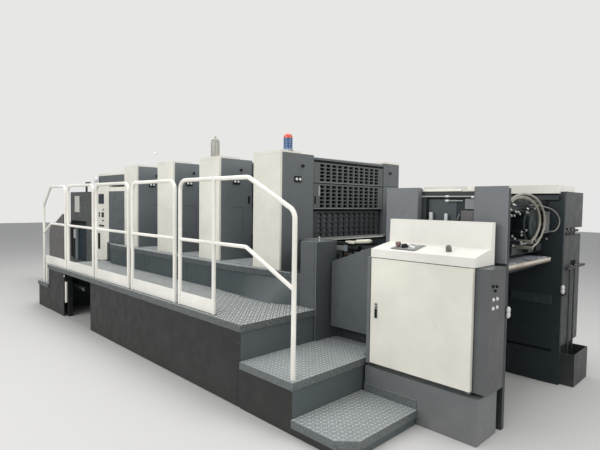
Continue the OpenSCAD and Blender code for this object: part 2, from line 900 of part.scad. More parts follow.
// Hose that loops over the front of the head on an oval, held by a fitting at both ends
module hose_loop(mid, oval, from, bends, d, x) {
    path = [for (k = [0:bends])
        [mid[0] + oval[0] * cos(from - 18 * k), mid[1] + oval[1] * sin(from - 18 * k)]];
    last = path[len(path) - 1];
    translate([x, 0, 0])
        rotate([0, 0, 90])
            bent_tube(path, 75, d);
    translate([head_x1, path[0][0], path[0][1]])
        rotate([0, 90, 0])
            cylinder(d = d + 8, h = x - head_x1 + d / 2);
    translate([head_x1 - 40, last[0], last[1]])
        rotate([0, 90, 0])
            cylinder(d = d + 8, h = x - head_x1 + 40 + d / 2);
}

module delivery_hoses() {
    color("tan") {
        hose_loop([mid_y - 158, delivery_top - 250], [388, 189], 122, 10, 22, head_x1 + 60);
        hose_loop([mid_y - 183, delivery_top - 252], [428, 215], 130, 11, 16, head_x1 + 92);
    }
}

// Pile board with its carrier, runs on the side frames
carrier_h = 60;
board_under = board_top - board_t;

module pile_board() {
    color("burlywood")
        block([board_x1 - board_len, frame_y1 + 40, board_under], [board_x1, drive_frame_y - 20, board_top]);
}

module pile_carrier() {
    x0 = board_x1 - board_len + 100;
    x1 = delivery_end_x - 435;
    color(black) {
        for (x = [x0, board_x1 - 180])
            block([x, frame_y1 + 40, board_under - carrier_h], [x + 60, drive_frame_y - 20, board_under]);
        for (y = [[frame_y1 + fit, frame_y1 + 41], [drive_frame_y - 21, drive_frame_y - fit]])
            block([x0, y[0], board_under - carrier_h], [x1, y[1], board_under]);
        block([x1 - 60, frame_y1 + 40, board_under - carrier_h], [x1, drive_frame_y - 20, board_under]);
        block([x1 - eps, mid_y - 30, board_under - carrier_h], [board_x1 - 170, mid_y + 30, board_under]);
    }
}

module hoist_rods() {
    bracket_z = 1000;
    bracket_y0 = drive_frame_y + frame_t + 30;
    bracket_w = drive_y + bracket_out - bracket_y0;
    rod_r = 7;
    color(black) {
        block([delivery_end_x, bracket_y0, bracket_z],
            [delivery_end_x + bracket_out, bracket_y0 + bracket_w, bracket_z + 20]);
        for (share = [0.173, 0.442])
            translate([delivery_end_x + 18, bracket_y0 + share * bracket_w, floor_box_h - 60])
                cylinder(r = rod_r, h = bracket_z - floor_box_h + 60 + eps);
    }
}

module floor_box() {
    color(dark)
        difference() {
            block([delivery_end_x - 36, floor_box_y0, 0], [floor_box_x, floor_box_y1, floor_box_h]);
            block([delivery_end_x - 30, floor_box_y0 + 6, 40],
                [floor_box_x - 6, floor_box_y1 - 6, floor_box_h + eps]);
        }
}

// Console

door_x0 = console_x0 + 36;
door_x1 = console_x1 - 16;
door_z1 = door_z0 + door_h;
hinge_x = door_x1 - 14;
hinge_y = console_y + door_t / 2;

module console_body() {
    color(gray)
        difference() {
            union() {
                block([console_x0, console_y + door_t + 12, cover_bottom - 5],
                    [console_x1, console_back_y, door_z1 + 6]);
                block([console_x0, console_y, cover_bottom - 5], [door_x0 - 6, console_back_y, door_z1 + 6]);
                block([hinge_x - 18, console_y + 4, cover_bottom - 5],
                    [door_x1, console_back_y, cover_bottom]);
                block([console_x0 - 4, console_y, 0], [console_x1 + 40, console_back_y, base_h]);
                block([console_x0 + 40, console_y + 60, 0], [console_x1 - 40, console_back_y, cover_bottom]);
            }
            translate([hinge_x, hinge_y, cover_bottom - 10])
                cylinder(r = 6 + fit, h = 20);
        }
}

module console_door() {
    color(white) {
        block([door_x0, console_y, door_z0], [door_x1, console_y + door_t, door_z1]);
        translate([hinge_x, hinge_y, cover_bottom - 4])
            cylinder(r = 6, h = door_h + 28);
    }
}

module console_desk() {
    color(white)
        difference() {
            along_x(door_x0 - 2, console_x1 - 4)
                polygon([[console_y - 5, door_z1 + 6], [console_y - 5, door_z1 + 67], [990, 1252],
                    [998, desk_back_z], [console_back_y, desk_back_z], [console_back_y, door_z1 + 6]]);
            translate([hinge_x, hinge_y, door_z1])
                cylinder(r = 6 + fit, h = 30);
        }
}

module control_column() {
    color(gray)
        block([console_x1, console_y + 40, cover_bottom - 5], [console_x1 + 80, console_y + 280, 1140]);
}

// Feeder

feeder_drive_y = drive_y - 230;
infeed_x0 = -cabinet_x0 - 511;
infeed_y = feeder_y + 50;
infeed_top = 1942;
guard_foot = 348;
guard_top = 1080;

module feeder_body() {
    color(gray)
        difference() {
            union() {
                block([-feeder_x1, feeder_y, 0], [-feeder_x0, feeder_drive_y, feeder_top]);
                block([-feeder_x1 + 604, feeder_y + 40, feeder_top - eps],
                    [-feeder_x1 + 624, feeder_y + 70, feeder_top + 168]);
                block([-feeder_x1 + 604, feeder_y + 40, feeder_top + 140],
                    [-feeder_x1 + 758, feeder_y + 70, feeder_top + 168]);
            }
            block([-feeder_x1 + 110, feeder_y - eps, 500], [-feeder_x0 - 260, feeder_y + 40, 1157]);
        }
}

// Guards beside the feeder pile, rounded towards the far end
module feeder_pile_guards() {
    far_r = 240;
    color("lightgray")
        for (y = [feeder_y, feeder_drive_y - 20])
            along_y(y, y + 20)
                difference() {
                    union() {
                        translate([-feeder_end_x + far_r, guard_foot])
                            square([feeder_end_x - far_r - feeder_x1, guard_top - guard_foot]);
                        translate([-feeder_end_x, guard_foot])
                            square([far_r + eps, guard_top - far_r - guard_foot]);
                        translate([-feeder_end_x + far_r, guard_top - far_r])
                            circle(r = far_r);
                        translate([-feeder_x1 - 500, 0])
                            square([60, guard_foot + eps]);
                        translate([-feeder_x1 - 919, guard_top - eps])
                            polygon([[0, 0], [514, 0], [514, 208], [480, 208]]);
                    }
                    translate([-feeder_x1, 0])
                        square([400, 2 * guard_top]);
                }
}

module feeder_cabinet() {
    color(white)
        block([-cabinet_x0 - cabinet_w, feeder_y + 5, cabinet_bottom],
            [-cabinet_x0, cabinet_y1, cabinet_top]);
}

module infeed_cover() {
    color(gray) {
        block([-cabinet_x0, feeder_y + 5, inner_step_z], [unit_x(1), unit_inner_y0, cabinet_top - 24]);
        block([infeed_x0, cabinet_y1 - 200, cabinet_top], [unit_x(1), drive_y - 340, infeed_top]);
        block([-cabinet_x0, cabinet_y1 - 200, cabinet_top - 24 - eps],
            [unit_x(1), drive_y - 340, cabinet_top + eps]);
        block([infeed_x0, infeed_y, cabinet_top], [unit_x(1), cabinet_y1 - 200 + eps, infeed_top]);
        block([infeed_x0, cabinet_y1, inner_step_z], [-cabinet_x0 + eps, drive_y - 340, cabinet_top + eps]);
        block([-cabinet_x0, unit_inner_y0 - eps, inner_step_z], [unit_x(1), drive_y - 340, cabinet_top]);
    }
}

placed() walkway_frame();
placed() walkway_deck();
placed() walkway_skirts();
placed() upper_tread();
placed() lower_tread();
placed() feeder_tread();
placed() inner_step();
placed() guard_rail_1();
placed() guard_rail_2();
placed() guard_rail_3();
placed() guard_rail_4();
placed() guard_rail_5();
placed() press_bed();
placed() unit_body_1();
placed() unit_body_2();
placed() unit_body_3();
placed() unit_body_4();
placed() unit_covers();
placed() inner_guards();
placed() upper_guard();
placed() lower_guard();
placed() signal_lamps();
placed() chain_housing();
placed() delivery_box();
placed() delivery_side_panel();
placed() operator_frame();
placed() operator_covers();
placed() drive_frame();
placed() drive_cover();
placed() drive_top_cover();
placed() delivery_rails();
placed() delivery_head();
placed() delivery_hoses();
placed() pile_board();
placed() pile_carrier();
placed() hoist_rods();
placed() floor_box();
placed() console_body();
placed() console_door();
placed() console_desk();
placed() control_column();
placed() feeder_body();
placed() feeder_pile_guards();
placed() feeder_cabinet();
placed() infeed_cover();
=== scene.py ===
import math

import bmesh
import bpy
from mathutils import Matrix, Vector


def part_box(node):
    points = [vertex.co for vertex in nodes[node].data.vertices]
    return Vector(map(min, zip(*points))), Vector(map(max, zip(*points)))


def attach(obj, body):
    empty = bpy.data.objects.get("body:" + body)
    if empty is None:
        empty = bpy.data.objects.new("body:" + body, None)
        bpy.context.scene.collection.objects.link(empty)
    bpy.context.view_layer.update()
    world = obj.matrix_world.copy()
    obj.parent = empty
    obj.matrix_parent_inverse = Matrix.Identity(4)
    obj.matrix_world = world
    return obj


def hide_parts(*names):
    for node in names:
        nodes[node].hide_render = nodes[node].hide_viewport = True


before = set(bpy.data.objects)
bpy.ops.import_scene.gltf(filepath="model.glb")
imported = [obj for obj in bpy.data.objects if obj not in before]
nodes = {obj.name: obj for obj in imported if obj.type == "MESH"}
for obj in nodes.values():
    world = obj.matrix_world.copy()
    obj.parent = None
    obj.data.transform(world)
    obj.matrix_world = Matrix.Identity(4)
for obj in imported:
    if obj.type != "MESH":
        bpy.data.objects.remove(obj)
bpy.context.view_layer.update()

# Camera: held at eye height off the delivery end, looking along the walkway towards the feeder,
# level but for a slight tilt, with a moderately wide lens.
camera_place = (5.6567, -3.5416, 1.5381)
camera_heading, camera_tilt, camera_roll = (math.radians(a) for a in (45.386, 90.0 - 2.592, 0.770))
camera = bpy.data.objects.new("camera", bpy.data.cameras.new("camera"))
camera.data.sensor_fit = "HORIZONTAL"
camera.data.sensor_width = 36.0
camera.data.lens = 28.229
camera.data.clip_end = 100.0
camera.matrix_world = (
    Matrix.Translation(camera_place)
    @ Matrix.Rotation(camera_heading, 4, "Z")
    @ Matrix.Rotation(camera_tilt, 4, "X")
    @ Matrix.Rotation(camera_roll, 4, "Z")
)
bpy.context.scene.collection.objects.link(camera)
bpy.context.scene.camera = camera

# Workshop floor and light: a plain pale floor, soft light from the roof and from both free sides,
# and a pale surround that the camera and the gloss see but that adds no light.


def feed(tree, fed, inputs):
    """Links each named input of a node that is given a socket, and sets the others."""
    for socket, value in inputs.items():
        if isinstance(value, bpy.types.NodeSocket):
            tree.links.new(value, fed.inputs[socket])
        else:
            fed.inputs[socket].default_value = value


def node(tree, kind, inputs, **settings):
    """Adds a node with its settings and inputs."""
    made = tree.nodes.new(kind)
    for setting, value in settings.items():
        setattr(made, setting, value)
    feed(tree, made, inputs)
    return made


def reckon(tree, operation, a, b=0.0):
    """Works out a number from one or two, each a value or a socket."""
    return node(tree, "ShaderNodeMath", {0: a, 1: b}, operation=operation).outputs[0]


floor_reach = 30
floor_mesh = bpy.data.meshes.new("floor")
floor_corners = [(-floor_reach, -floor_reach, 0), (floor_reach, -floor_reach, 0),
                 (floor_reach, floor_reach, 0), (-floor_reach, floor_reach, 0)]
floor_mesh.from_pydata(floor_corners, [], [(0, 1, 2, 3)])
floor = bpy.data.objects.new("floor", floor_mesh)
bpy.context.scene.collection.objects.link(floor)
floor_paint = bpy.data.materials.new("floor_paint")
floor_paint.use_nodes = True
floor_look = {"Base Color": (0.56, 0.55, 0.53, 1), "Roughness": 0.9}
feed(floor_paint.node_tree, floor_paint.node_tree.nodes["Principled BSDF"], floor_look)
floor_mesh.materials.append(floor_paint)

world = bpy.data.worlds.new("studio")
bpy.context.scene.world = world
world.use_nodes = True
sky = world.node_tree
feed(sky, sky.nodes["Background"], {"Color": (0.92, 0.95, 1.0, 1), "Strength": 0.50})
surround = node(sky, "ShaderNodeBackground", {"Color": (0.80, 0.80, 0.79, 1)})
rays = sky.nodes.new("ShaderNodeLightPath").outputs
seen = reckon(sky, "MAXIMUM", rays["Is Camera Ray"], rays["Is Glossy Ray"])
through = reckon(sky, "MAXIMUM", seen, rays["Is Transmission Ray"])
either = {0: through, 1: sky.nodes["Background"].outputs[0], 2: surround.outputs[0]}
choose = node(sky, "ShaderNodeMixShader", either)
feed(sky, sky.nodes["World Output"], {"Surface": choose.outputs[0]})
for name, place, turn, width, height, watts in (
    ("roof_light", (0.0, 0.5, 6.5), (0, 0, 0), 10.0, 5.0, 420),
    ("side_light", (2.0, -7.5, 4.2), (62, 0, 6), 9.0, 3.0, 330),
    ("end_light", (9.0, 0.5, 3.8), (66, 0, 95), 5.0, 3.0, 170),
):
    lamp = bpy.data.objects.new(name, bpy.data.lights.new(name, "AREA"))
    lamp.data.shape = "RECTANGLE"
    lamp.data.size = width
    lamp.data.size_y = height
    lamp.data.energy = watts
    lamp.location = place
    lamp.rotation_euler = [math.radians(a) for a in turn]
    bpy.context.scene.collection.objects.link(lamp)
bpy.context.scene.view_settings.view_transform = "Standard"

# Walkway frame: square steel tubes welded together, with a socket under each rail post, sprayed black.
# The paint is dull and dusty. An ivory bolt locks the post over the open bay in its socket.
deck_low, deck_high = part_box("walkway_deck")


def at(x, y, z):
    """Place on the press, in millimetres from the deck's outer delivery corner and from the floor."""
    return Vector((deck_high[0] + x / 1000, deck_low[1] + y / 1000, z / 1000))


def cloud(tree, where, scale, detail=3.0, harsh=0.5, stretch=None):
    """Noise read at a place, from 0 to 1, stretched along the axes where asked."""
    if stretch:
        where = node(tree, "ShaderNodeMapping", {"Scale": stretch, "Vector": where}).outputs[0]
    noise = {"Scale": scale, "Detail": detail, "Roughness": harsh, "Vector": where}
    return node(tree, "ShaderNodeTexNoise", noise).outputs["Fac"]


def spread(tree, value, low, high, to_low, to_high):
    """Stretches a value from one range to another, and holds it inside."""
    ranges = {"From Min": low, "From Max": high, "To Min": to_low, "To Max": to_high, "Value": value}
    return node(tree, "ShaderNodeMapRange", ranges).outputs[0]


def tint(tree, share, first, second):
    """Mixes two colours, given as values or as sockets."""
    first, second = ((*c, 1) if isinstance(c, tuple) else c for c in (first, second))
    return node(tree, "ShaderNodeMix", {0: share, 6: first, 7: second}, data_type="RGBA").outputs[2]


def shade(colour, factor, lift=0.0):
    """A colour made darker or lighter."""
    return tuple(c * factor + lift for c in colour)


def along(tree, vector, axis):
    """One coordinate of a place or of a direction."""
    return node(tree, "ShaderNodeSeparateXYZ", {0: vector}).outputs[axis]


def raise_grain(tree, height, deep, strength=1.0):
    """Bump from a height, in metres, on the material's shader."""
    bump = node(tree, "ShaderNodeBump", {"Distance": deep, "Strength": strength, "Height": height})
    feed(tree, tree.nodes["Principled BSDF"], {"Normal": bump.outputs[0]})


def fresh(name):
    """A new material with its nodes and the sockets of the object's places and facings."""
    material = bpy.data.materials.new(name)
    material.use_nodes = True
    tree = material.node_tree
    coordinates = tree.nodes.new("ShaderNodeTexCoord").outputs
    return material, tree, coordinates["Object"], coordinates["Normal"]


def enamel(name, colour, rough=0.42, grime=0.35, floor_dust=0.0, top_dust=0.0, streaks=0.0,
           dirt=(0.09, 0.08, 0.065), end_face_lighting=None, gloss=0.5):
    """Sprayed enamel: colour drift, handling marks, streaks, dust low down and on top, orange peel, and
    painted lighting on faces turned to the delivery end.
    """
    material, tree, where, facing = fresh(name)
    drift = spread(tree, cloud(tree, where, 1.3, 4.0, 0.6), 0.35, 0.65, 0.0, 1.0)
    coat = tint(tree, drift, shade(colour, 0.90), shade(colour, 1.10))
    marks = spread(tree, cloud(tree, where, 5.5, 9.0, 0.68), 0.53, 0.74, 0.0, grime)
    coat = tint(tree, marks, coat, dirt)
    rubbed = cloud(tree, where, 26.0, 6.0, 0.7, (1.0, 1.0, 0.18))
    coat = tint(tree, spread(tree, rubbed, 0.62, 0.72, 0.0, 0.45 * grime), coat, shade(colour, 0.5, 0.30))
    if streaks:
        runs = cloud(tree, where, 14.0, 5.0, 0.6, (1.0, 1.0, 0.05))
        coat = tint(tree, spread(tree, runs, 0.50, 0.75, 0.0, streaks), coat, dirt)
    dust = (0.27, 0.25, 0.22)
    if floor_dust:
        near_floor = spread(tree, along(tree, where, "Z"), 0.02, 0.42, floor_dust, 0.0)
        patchy = spread(tree, cloud(tree, where, 9.0, 8.0), 0.3, 0.7, 0.25, 1.0)
        coat = tint(tree, reckon(tree, "MULTIPLY", near_floor, patchy), coat, dust)
    if top_dust:
        on_top = spread(tree, along(tree, facing, "Z"), 0.6, 1.0, 0.0, top_dust)
        patchy = spread(tree, cloud(tree, where, 7.0, 8.0), 0.3, 0.7, 0.4, 1.0)
        coat = tint(tree, reckon(tree, "MULTIPLY", on_top, patchy), coat, dust)
    # Painted light and shade: faces turned towards the delivery end (+X) take the tint of how that side looks
    # in the light.
    if end_face_lighting:
        coat = tint(tree, spread(tree, along(tree, facing, "X"), 0.5, 0.9, 0.0, 0.9), coat, end_face_lighting)
    uneven = spread(tree, cloud(tree, where, 11.0, 6.0), 0.3, 0.7, rough - 0.07, rough + 0.12)
    look = {"Base Color": coat, "Specular IOR Level": gloss, "Roughness": uneven}
    feed(tree, tree.nodes["Principled BSDF"], look)
    raise_grain(tree, cloud(tree, where, 420.0, 2.0), 0.0004, 0.5)
    return material


def finish(part, material):
    """Gives a CAD node its finish in its own material slots."""
    for slot in nodes[part].material_slots:
        slot.material = material


def mount(piece, body):
    """Puts a piece into the scene and lets it ride on its body."""
    bpy.context.scene.collection.objects.link(piece)
    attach(piece, body)
    return piece


def grown(name, seeds, given, build):
    """A piece that a node tree repeats over a seed mesh and that is kept as a plain mesh at the origin."""
    tree = bpy.data.node_groups.new(name + "_tree", "GeometryNodeTree")
    socket = tree.interface.new_socket
    socket(name="Geometry", in_out="INPUT", socket_type="NodeSocketGeometry")
    keys = {}
    for label, (kind, _) in given.items():
        keys[label] = socket(name=label, in_out="INPUT", socket_type="NodeSocket" + kind).identifier
    socket(name="Geometry", in_out="OUTPUT", socket_type="NodeSocketGeometry")
    start = tree.nodes.new("NodeGroupInput").outputs
    copies = node(tree, "GeometryNodeInstanceOnPoints", build(tree, start)).outputs[0]
    real = node(tree, "GeometryNodeRealizeInstances", {0: copies}).outputs[0]
    coated = node(tree, "GeometryNodeSetMaterial", {"Geometry": real, "Material": start["Coat"]}).outputs[0]
    node(tree, "NodeGroupOutput", {"Geometry": coated})
    raw = bpy.data.objects.new(name + "_raw", seeds)
    bpy.context.scene.collection.objects.link(raw)
    modifier = raw.modifiers.new("copies", "NODES")
    modifier.node_group = tree
    for label, (_, value) in given.items():
        modifier[keys[label]] = value
    ready = raw.evaluated_get(bpy.context.evaluated_depsgraph_get())
    mesh = bpy.data.meshes.new_from_object(ready)
    mesh.name = name
    bpy.data.objects.remove(raw)
    return mount(bpy.data.objects.new(name, mesh), "press")


def studs(name, heads, radius, height, sides, coat):
    """Bolt or screw heads of one size, each given as a place and the way it faces."""
    seeds = bpy.data.meshes.new(name + "_seeds")
    seeds.from_pydata([tuple(p) for p, _ in heads], [], [])
    ways = seeds.attributes.new("facing", "FLOAT_VECTOR", "POINT")
    ways.data.foreach_set("vector", [c for _, d in heads for c in d])
    crown_share = 0.82

    def head(tree, start):
        cone = {"Vertices": start["Sides"], "Radius Bottom": start["Radius"], "Depth": start["Height"],
                "Radius Top": reckon(tree, "MULTIPLY", start["Radius"], crown_share)}
        way = node(tree, "GeometryNodeInputNamedAttribute", {"Name": "facing"}, data_type="FLOAT_VECTOR")
        turn = node(tree, "FunctionNodeAlignRotationToVector", {"Vector": way.outputs["Attribute"]}, axis="Z")
        return {"Points": node(tree, "GeometryNodeMeshToPoints", {"Mesh": start["Geometry"]}).outputs[0],
                "Instance": node(tree, "GeometryNodeMeshCone", cone).outputs["Mesh"],
                "Rotation": turn.outputs[0]}

    given = {"Radius": ("Float", radius), "Height": ("Float", height), "Sides": ("Int", sides),
             "Coat": ("Material", coat)}
    grown(name, seeds, given, head)


frame_black = enamel("frame_black", (0.010, 0.012, 0.013), 0.6, 0.2, 0.10, 0.3, dirt=(0.04, 0.04, 0.035),
                     gloss=0.15)
finish("walkway_frame", frame_black)
outward, endward, upward = (0, -1, 0), (1, 0, 0), (0, 0, 1)
bolt_ivory = enamel("bolt_ivory", (0.70, 0.69, 0.64), 0.4, 0.2)
studs("socket_bolts", [(at(-3843, 22, 540), outward)], 0.017, 0.007, 6, bolt_ivory)

# Pipe under the deck: a blue-gray square pipe, made pale blue as painted light in its deep shade, that
# hangs on two straps from the deck behind the open bay. Its near end is closed with a black cap.


def skin(work, rings, smooth=False):
    """Closes rings of corners into one skin: walls between neighbours, which meet in a pole, and end caps."""
    for low, high in zip(rings, rings[1:]):
        around = max(len(low), len(high))
        for k in range(around):
            j = (k + 1) % around
            below = low if len(low) == 1 else [low[k], low[j]]
            above = high if len(high) == 1 else [high[j], high[k]]
            work.faces.new(below + above).smooth = smooth
    for ring in (rings[0][::-1], rings[-1]):
        if len(ring) > 1:
            work.faces.new(ring)


def round_off(work, offset):
    """Rounds all edges a little, as folded and cast pieces are."""
    bmesh.ops.bevel(work, geom=work.edges[:], offset=offset, segments=2, profile=0.5, affect="EDGES")


def built(name, work, coat, body="press"):
    """Makes a built mesh a piece with its coat."""
    mesh = bpy.data.meshes.new(name)
    work.to_mesh(mesh)
    work.free()
    mesh.materials.append(coat)
    return mount(bpy.data.objects.new(name, mesh), body)


def slanted(name, spans, coat):
    """Square bars between two ends in one piece, each with a half width and a half height, in millimetres."""
    work = bmesh.new()
    for start, end, half_width, half_height in spans:
        start, end = at(*start), at(*end)
        way = (end - start).normalized()
        side = way.cross(Vector(upward)).normalized() if abs(way.z) < 0.9 else Vector(endward)
        over = side.cross(way).normalized()
        side, over = side * (half_width / 1000), over * (half_height / 1000)
        skin(work, [[work.verts.new(p + side * a + over * b) for a, b in ((-1, -1), (1, -1), (1, 1), (-1, 1))]
                    for p in (start, end)])
    round_off(work, 0.002)
    bmesh.ops.recalc_face_normals(work, faces=work.faces[:])
    built(name, work, coat)


# Painted light: the blue-gray paint is lightened to pale blue, as the pipe hangs in deep shade.
pipe_blue_painted_light = enamel("pipe_blue_painted_light", (0.62, 0.72, 0.78), 0.4, 0.2, dirt=(0.22, 0.26, 0.27))
slanted("bay_pipe", [((-4430, 352, 322), (-3830, 300, 322), 24, 20)], pipe_blue_painted_light)
slanted("bay_pipe_cap", [((-3832, 300.2, 322), (-3802, 297.6, 322), 30, 28)], frame_black)
straps = [((x, y, 340), (x, y, 579), 9, 2) for x, y in ((-4300, 340.7), (-3900, 306.1))]
slanted("bay_pipe_straps", straps, frame_black)

# Skirts and risers: folded steel panels that hang below the deck, sprayed charcoal and screwed to the
# frame. One panel of the outer side is missing. Dust from the floor covers their lower edges.
# Painted light: the end risers, facing the delivery end, get a lighter bluish gray, though they share the
# charcoal paint.
skirt_gray = enamel("skirt_gray", (0.029, 0.0295, 0.029), 0.55, 0.10, 0.05, dirt=(0.030, 0.030, 0.029),
                    end_face_lighting=(0.098, 0.116, 0.118), gloss=0.22)
finish("walkway_skirts", skirt_gray)


def bright_metal(name, colour, rough, worn=0.3):
    """Bare or plated steel with fine brushing and dull stains."""
    material, tree, where, _ = fresh(name)
    stain = spread(tree, cloud(tree, where, 60.0, 6.0), 0.45, 0.7, 0.0, worn)
    uneven = spread(tree, cloud(tree, where, 30.0, 4.0), 0.3, 0.7, rough - 0.08, rough + 0.15)
    coat = tint(tree, stain, colour, shade(colour, 0.35))
    feed(tree, tree.nodes["Principled BSDF"], {"Base Color": coat, "Roughness": uneven, "Metallic": 0.85})
    raise_grain(tree, cloud(tree, where, 900.0, 2.0, 0.5, (1.0, 0.1, 1.0)), 0.0002, 0.4)
    return material


skirt_face = 12
low_screws = [(x, skirt_face, 74) for x in (-975, -1930, -2885, -3890, -4420)]
outer_screws = [(-40, skirt_face, 491), (-75, skirt_face, 100), *low_screws, (500, skirt_face, 60)]
riser_screws = [(-12, y, 420) for y in (60, 740)] + [(549, y, 210) for y in (60, 560)]
screw_heads = [(at(*p), outward) for p in outer_screws] + [(at(*p), endward) for p in riser_screws]
screw_steel = bright_metal("screw_steel", (0.22, 0.22, 0.21), 0.45, 0.5)
studs("skirt_screws", screw_heads, 0.005, 0.003, 12, screw_steel)

# Deck and treads: checker plate with raised bars that cross, folded down to a nosing all round and
# sprayed gray. Shoes have worn the paint off the bars, and the nosings are rough and flecked.


def tread_paint(name, flat, nosing, fleck, front=None, front_top=0.0, gloss=0.3):
    """Paint of trodden plate: worn flats, flecked edges and, where asked, a smooth front up to a height,
    with painted shade where that front leans back.
    """
    material, tree, where, facing = fresh(name)
    level = spread(tree, along(tree, facing, "Z"), 0.3, 0.7, 0.0, 1.0)
    paths = spread(tree, cloud(tree, where, 2.2, 6.0, 0.6), 0.35, 0.7, 0.0, 1.0)
    walked = tint(tree, paths, flat, shade(flat, 1.22))
    spots = spread(tree, cloud(tree, where, 45.0, 8.0, 0.7), 0.5, 0.75, 0.0, 0.5)
    walked = tint(tree, spots, walked, shade(flat, 0.45))
    edge = tint(tree, spread(tree, cloud(tree, where, 130.0, 3.0, 0.8), 0.52, 0.60, 0.0, 1.0), nosing, fleck)
    if front:
        drift = spread(tree, cloud(tree, where, 3.0, 5.0), 0.4, 0.6, 0.0, 1.0)
        smooth = tint(tree, drift, front, shade(front, 1.12))
        # Painted shade: parts of the front that lean back and face upward are darkened.
        leaning_shade = spread(tree, along(tree, facing, "Z"), 0.03, 0.55, 0.0, 0.42)
        smooth = tint(tree, leaning_shade, smooth, shade(front, 0.4))
        above = spread(tree, along(tree, where, "Z"), front_top - 0.002, front_top + 0.001, 0.0, 1.0)
        edge = tint(tree, above, smooth, edge)
    uneven = spread(tree, cloud(tree, where, 18.0, 6.0), 0.3, 0.7, 0.40, 0.62)
    look = {"Base Color": tint(tree, level, edge, walked), "Roughness": uneven, "Specular IOR Level": gloss}
    feed(tree, tree.nodes["Principled BSDF"], look)
    raise_grain(tree, cloud(tree, where, 210.0, 4.0), 0.001, 0.6)
    return material


plate_gray = tread_paint("plate_gray", (0.140, 0.150, 0.147), (0.072, 0.080, 0.079), (0.22, 0.23, 0.23))
bar_gray = tread_paint("bar_gray", (0.56, 0.58, 0.57), (0.26, 0.27, 0.27), (0.40, 0.41, 0.41))
worn_plate = tread_paint("worn_plate", (0.222, 0.240, 0.236), (0.098, 0.110, 0.109), (0.22, 0.23, 0.23))
worn_bar = tread_paint("worn_bar", (0.385, 0.405, 0.40), (0.26, 0.27, 0.27), (0.40, 0.41, 0.41))
for tread, paint in (("walkway_deck", plate_gray), ("feeder_tread", plate_gray),
                     ("upper_tread", worn_plate), ("lower_tread", worn_plate)):
    finish(tread, paint)


def raised_bars(name, outline, level, coat=bar_gray):
    """Fills an outline with crossed raised bars, two turns taken in turn, as rolled checker plate has."""
    field = bpy.data.meshes.new(name + "_field")
    field.from_pydata([tuple(at(x, y, level)) for x, y in outline], [], [tuple(range(len(outline)))])
    bar_shape = {"Vertices": 6, "Radius Top": 0.55, "Radius Bottom": 1.0, "Depth": 1.0}

    def bars(tree, start):
        def vector(operation, a, b):
            return node(tree, "ShaderNodeVectorMath", {0: a, 1: b}, operation=operation).outputs["Vector"]

        pitch = start["Pitch"]
        reach = node(tree, "GeometryNodeBoundBox", {0: start["Geometry"]}).outputs
        span = vector("SUBTRACT", reach["Max"], reach["Min"])
        spacing = {}
        for side in "XY":
            whole = reckon(tree, "FLOOR", reckon(tree, "DIVIDE", along(tree, span, side), pitch))
            count = reckon(tree, "ADD", whole, 1)
            spacing["Vertices " + side] = count
            spacing["Size " + side] = reckon(tree, "MULTIPLY", reckon(tree, "SUBTRACT", count, 1), pitch)
        grid = node(tree, "GeometryNodeMeshGrid", spacing).outputs["Mesh"]
        middle = vector("MULTIPLY", vector("ADD", reach["Min"], reach["Max"]), (0.5, 0.5, 0.5))
        shifted = node(tree, "GeometryNodeTransform", {"Geometry": grid, "Translation": middle}).outputs[0]
        points = node(tree, "GeometryNodeMeshToPoints", {"Mesh": shifted}).outputs[0]
        spot = node(tree, "GeometryNodeInputPosition", {}).outputs[0]
        above = vector("ADD", spot, (0.0, 0.0, 0.05))
        probe = {"Target Geometry": start["Geometry"], "Source Position": above,
                 "Ray Direction": (0, 0, -1), "Ray Length": 0.2}
        inside = node(tree, "GeometryNodeRaycast", probe).outputs["Is Hit"]
        miss = node(tree, "FunctionNodeBooleanMath", {0: inside}, operation="NOT").outputs[0]
        kept = node(tree, "GeometryNodeDeleteGeometry", {"Geometry": points, "Selection": miss}).outputs[0]
        offset = vector("SUBTRACT", spot, reach["Min"])
        steps = (reckon(tree, "DIVIDE", along(tree, offset, side), pitch) for side in "XY")
        across, lengthways = (reckon(tree, "FLOOR", reckon(tree, "ADD", step, 0.25)) for step in steps)
        odd = reckon(tree, "MODULO", reckon(tree, "ADD", across, lengthways), 2)
        angle = reckon(tree, "ADD", reckon(tree, "MULTIPLY", odd, math.pi / 2), math.pi / 4)
        size = {"X": reckon(tree, "MULTIPLY", start["Bar length"], 0.5),
                "Y": reckon(tree, "MULTIPLY", start["Bar width"], 0.5), "Z": start["Bar height"]}
        return {"Points": kept,
                "Instance": node(tree, "GeometryNodeMeshCone", bar_shape, fill_type="NGON").outputs["Mesh"],
                "Rotation": node(tree, "ShaderNodeCombineXYZ", {"Z": angle}).outputs[0],
                "Scale": node(tree, "ShaderNodeCombineXYZ", size).outputs[0]}

    given = {"Pitch": ("Float", 0.036), "Bar length": ("Float", 0.030), "Bar width": ("Float", 0.0105),
             "Bar height": ("Float", 0.0025), "Coat": ("Material", coat)}
    grown(name, field, given, bars)


deck_level, tread_level, low_tread_level = 632, 356, 107
raised_bars("deck_bars", [(-4450, 8), (-8, 8), (-8, 790), (-196, 790), (-430, 660), (-900, 668),
                          (-1500, 730), (-4066, 730), (-4076, 790), (-4450, 790)], deck_level)
raised_bars("feeder_tread_bars", [(-4896, 8), (-4452, 8), (-4452, 790), (-4896, 790)], tread_level)
raised_bars("upper_tread_bars", [(-4, 8), (553, 8), (553, 780), (530, 810), (501, 832), (501, 1065),
                                 (10, 1065), (-4, 790)], tread_level, worn_bar)
low_tread = [(557, 8), (925, 8), (1032, 115), (1032, 748), (557, 748)]
raised_bars("lower_tread_bars", low_tread, low_tread_level, worn_bar)

# Inner step: a long box step against the machine, with a checker-plate top whose front edge bellies out.
# It is welded from folded plate, its front has dull upright joints, and its rolled front sheet widens at
# the foot.
step_level, nosing_low, step_front = 904, 850, 736
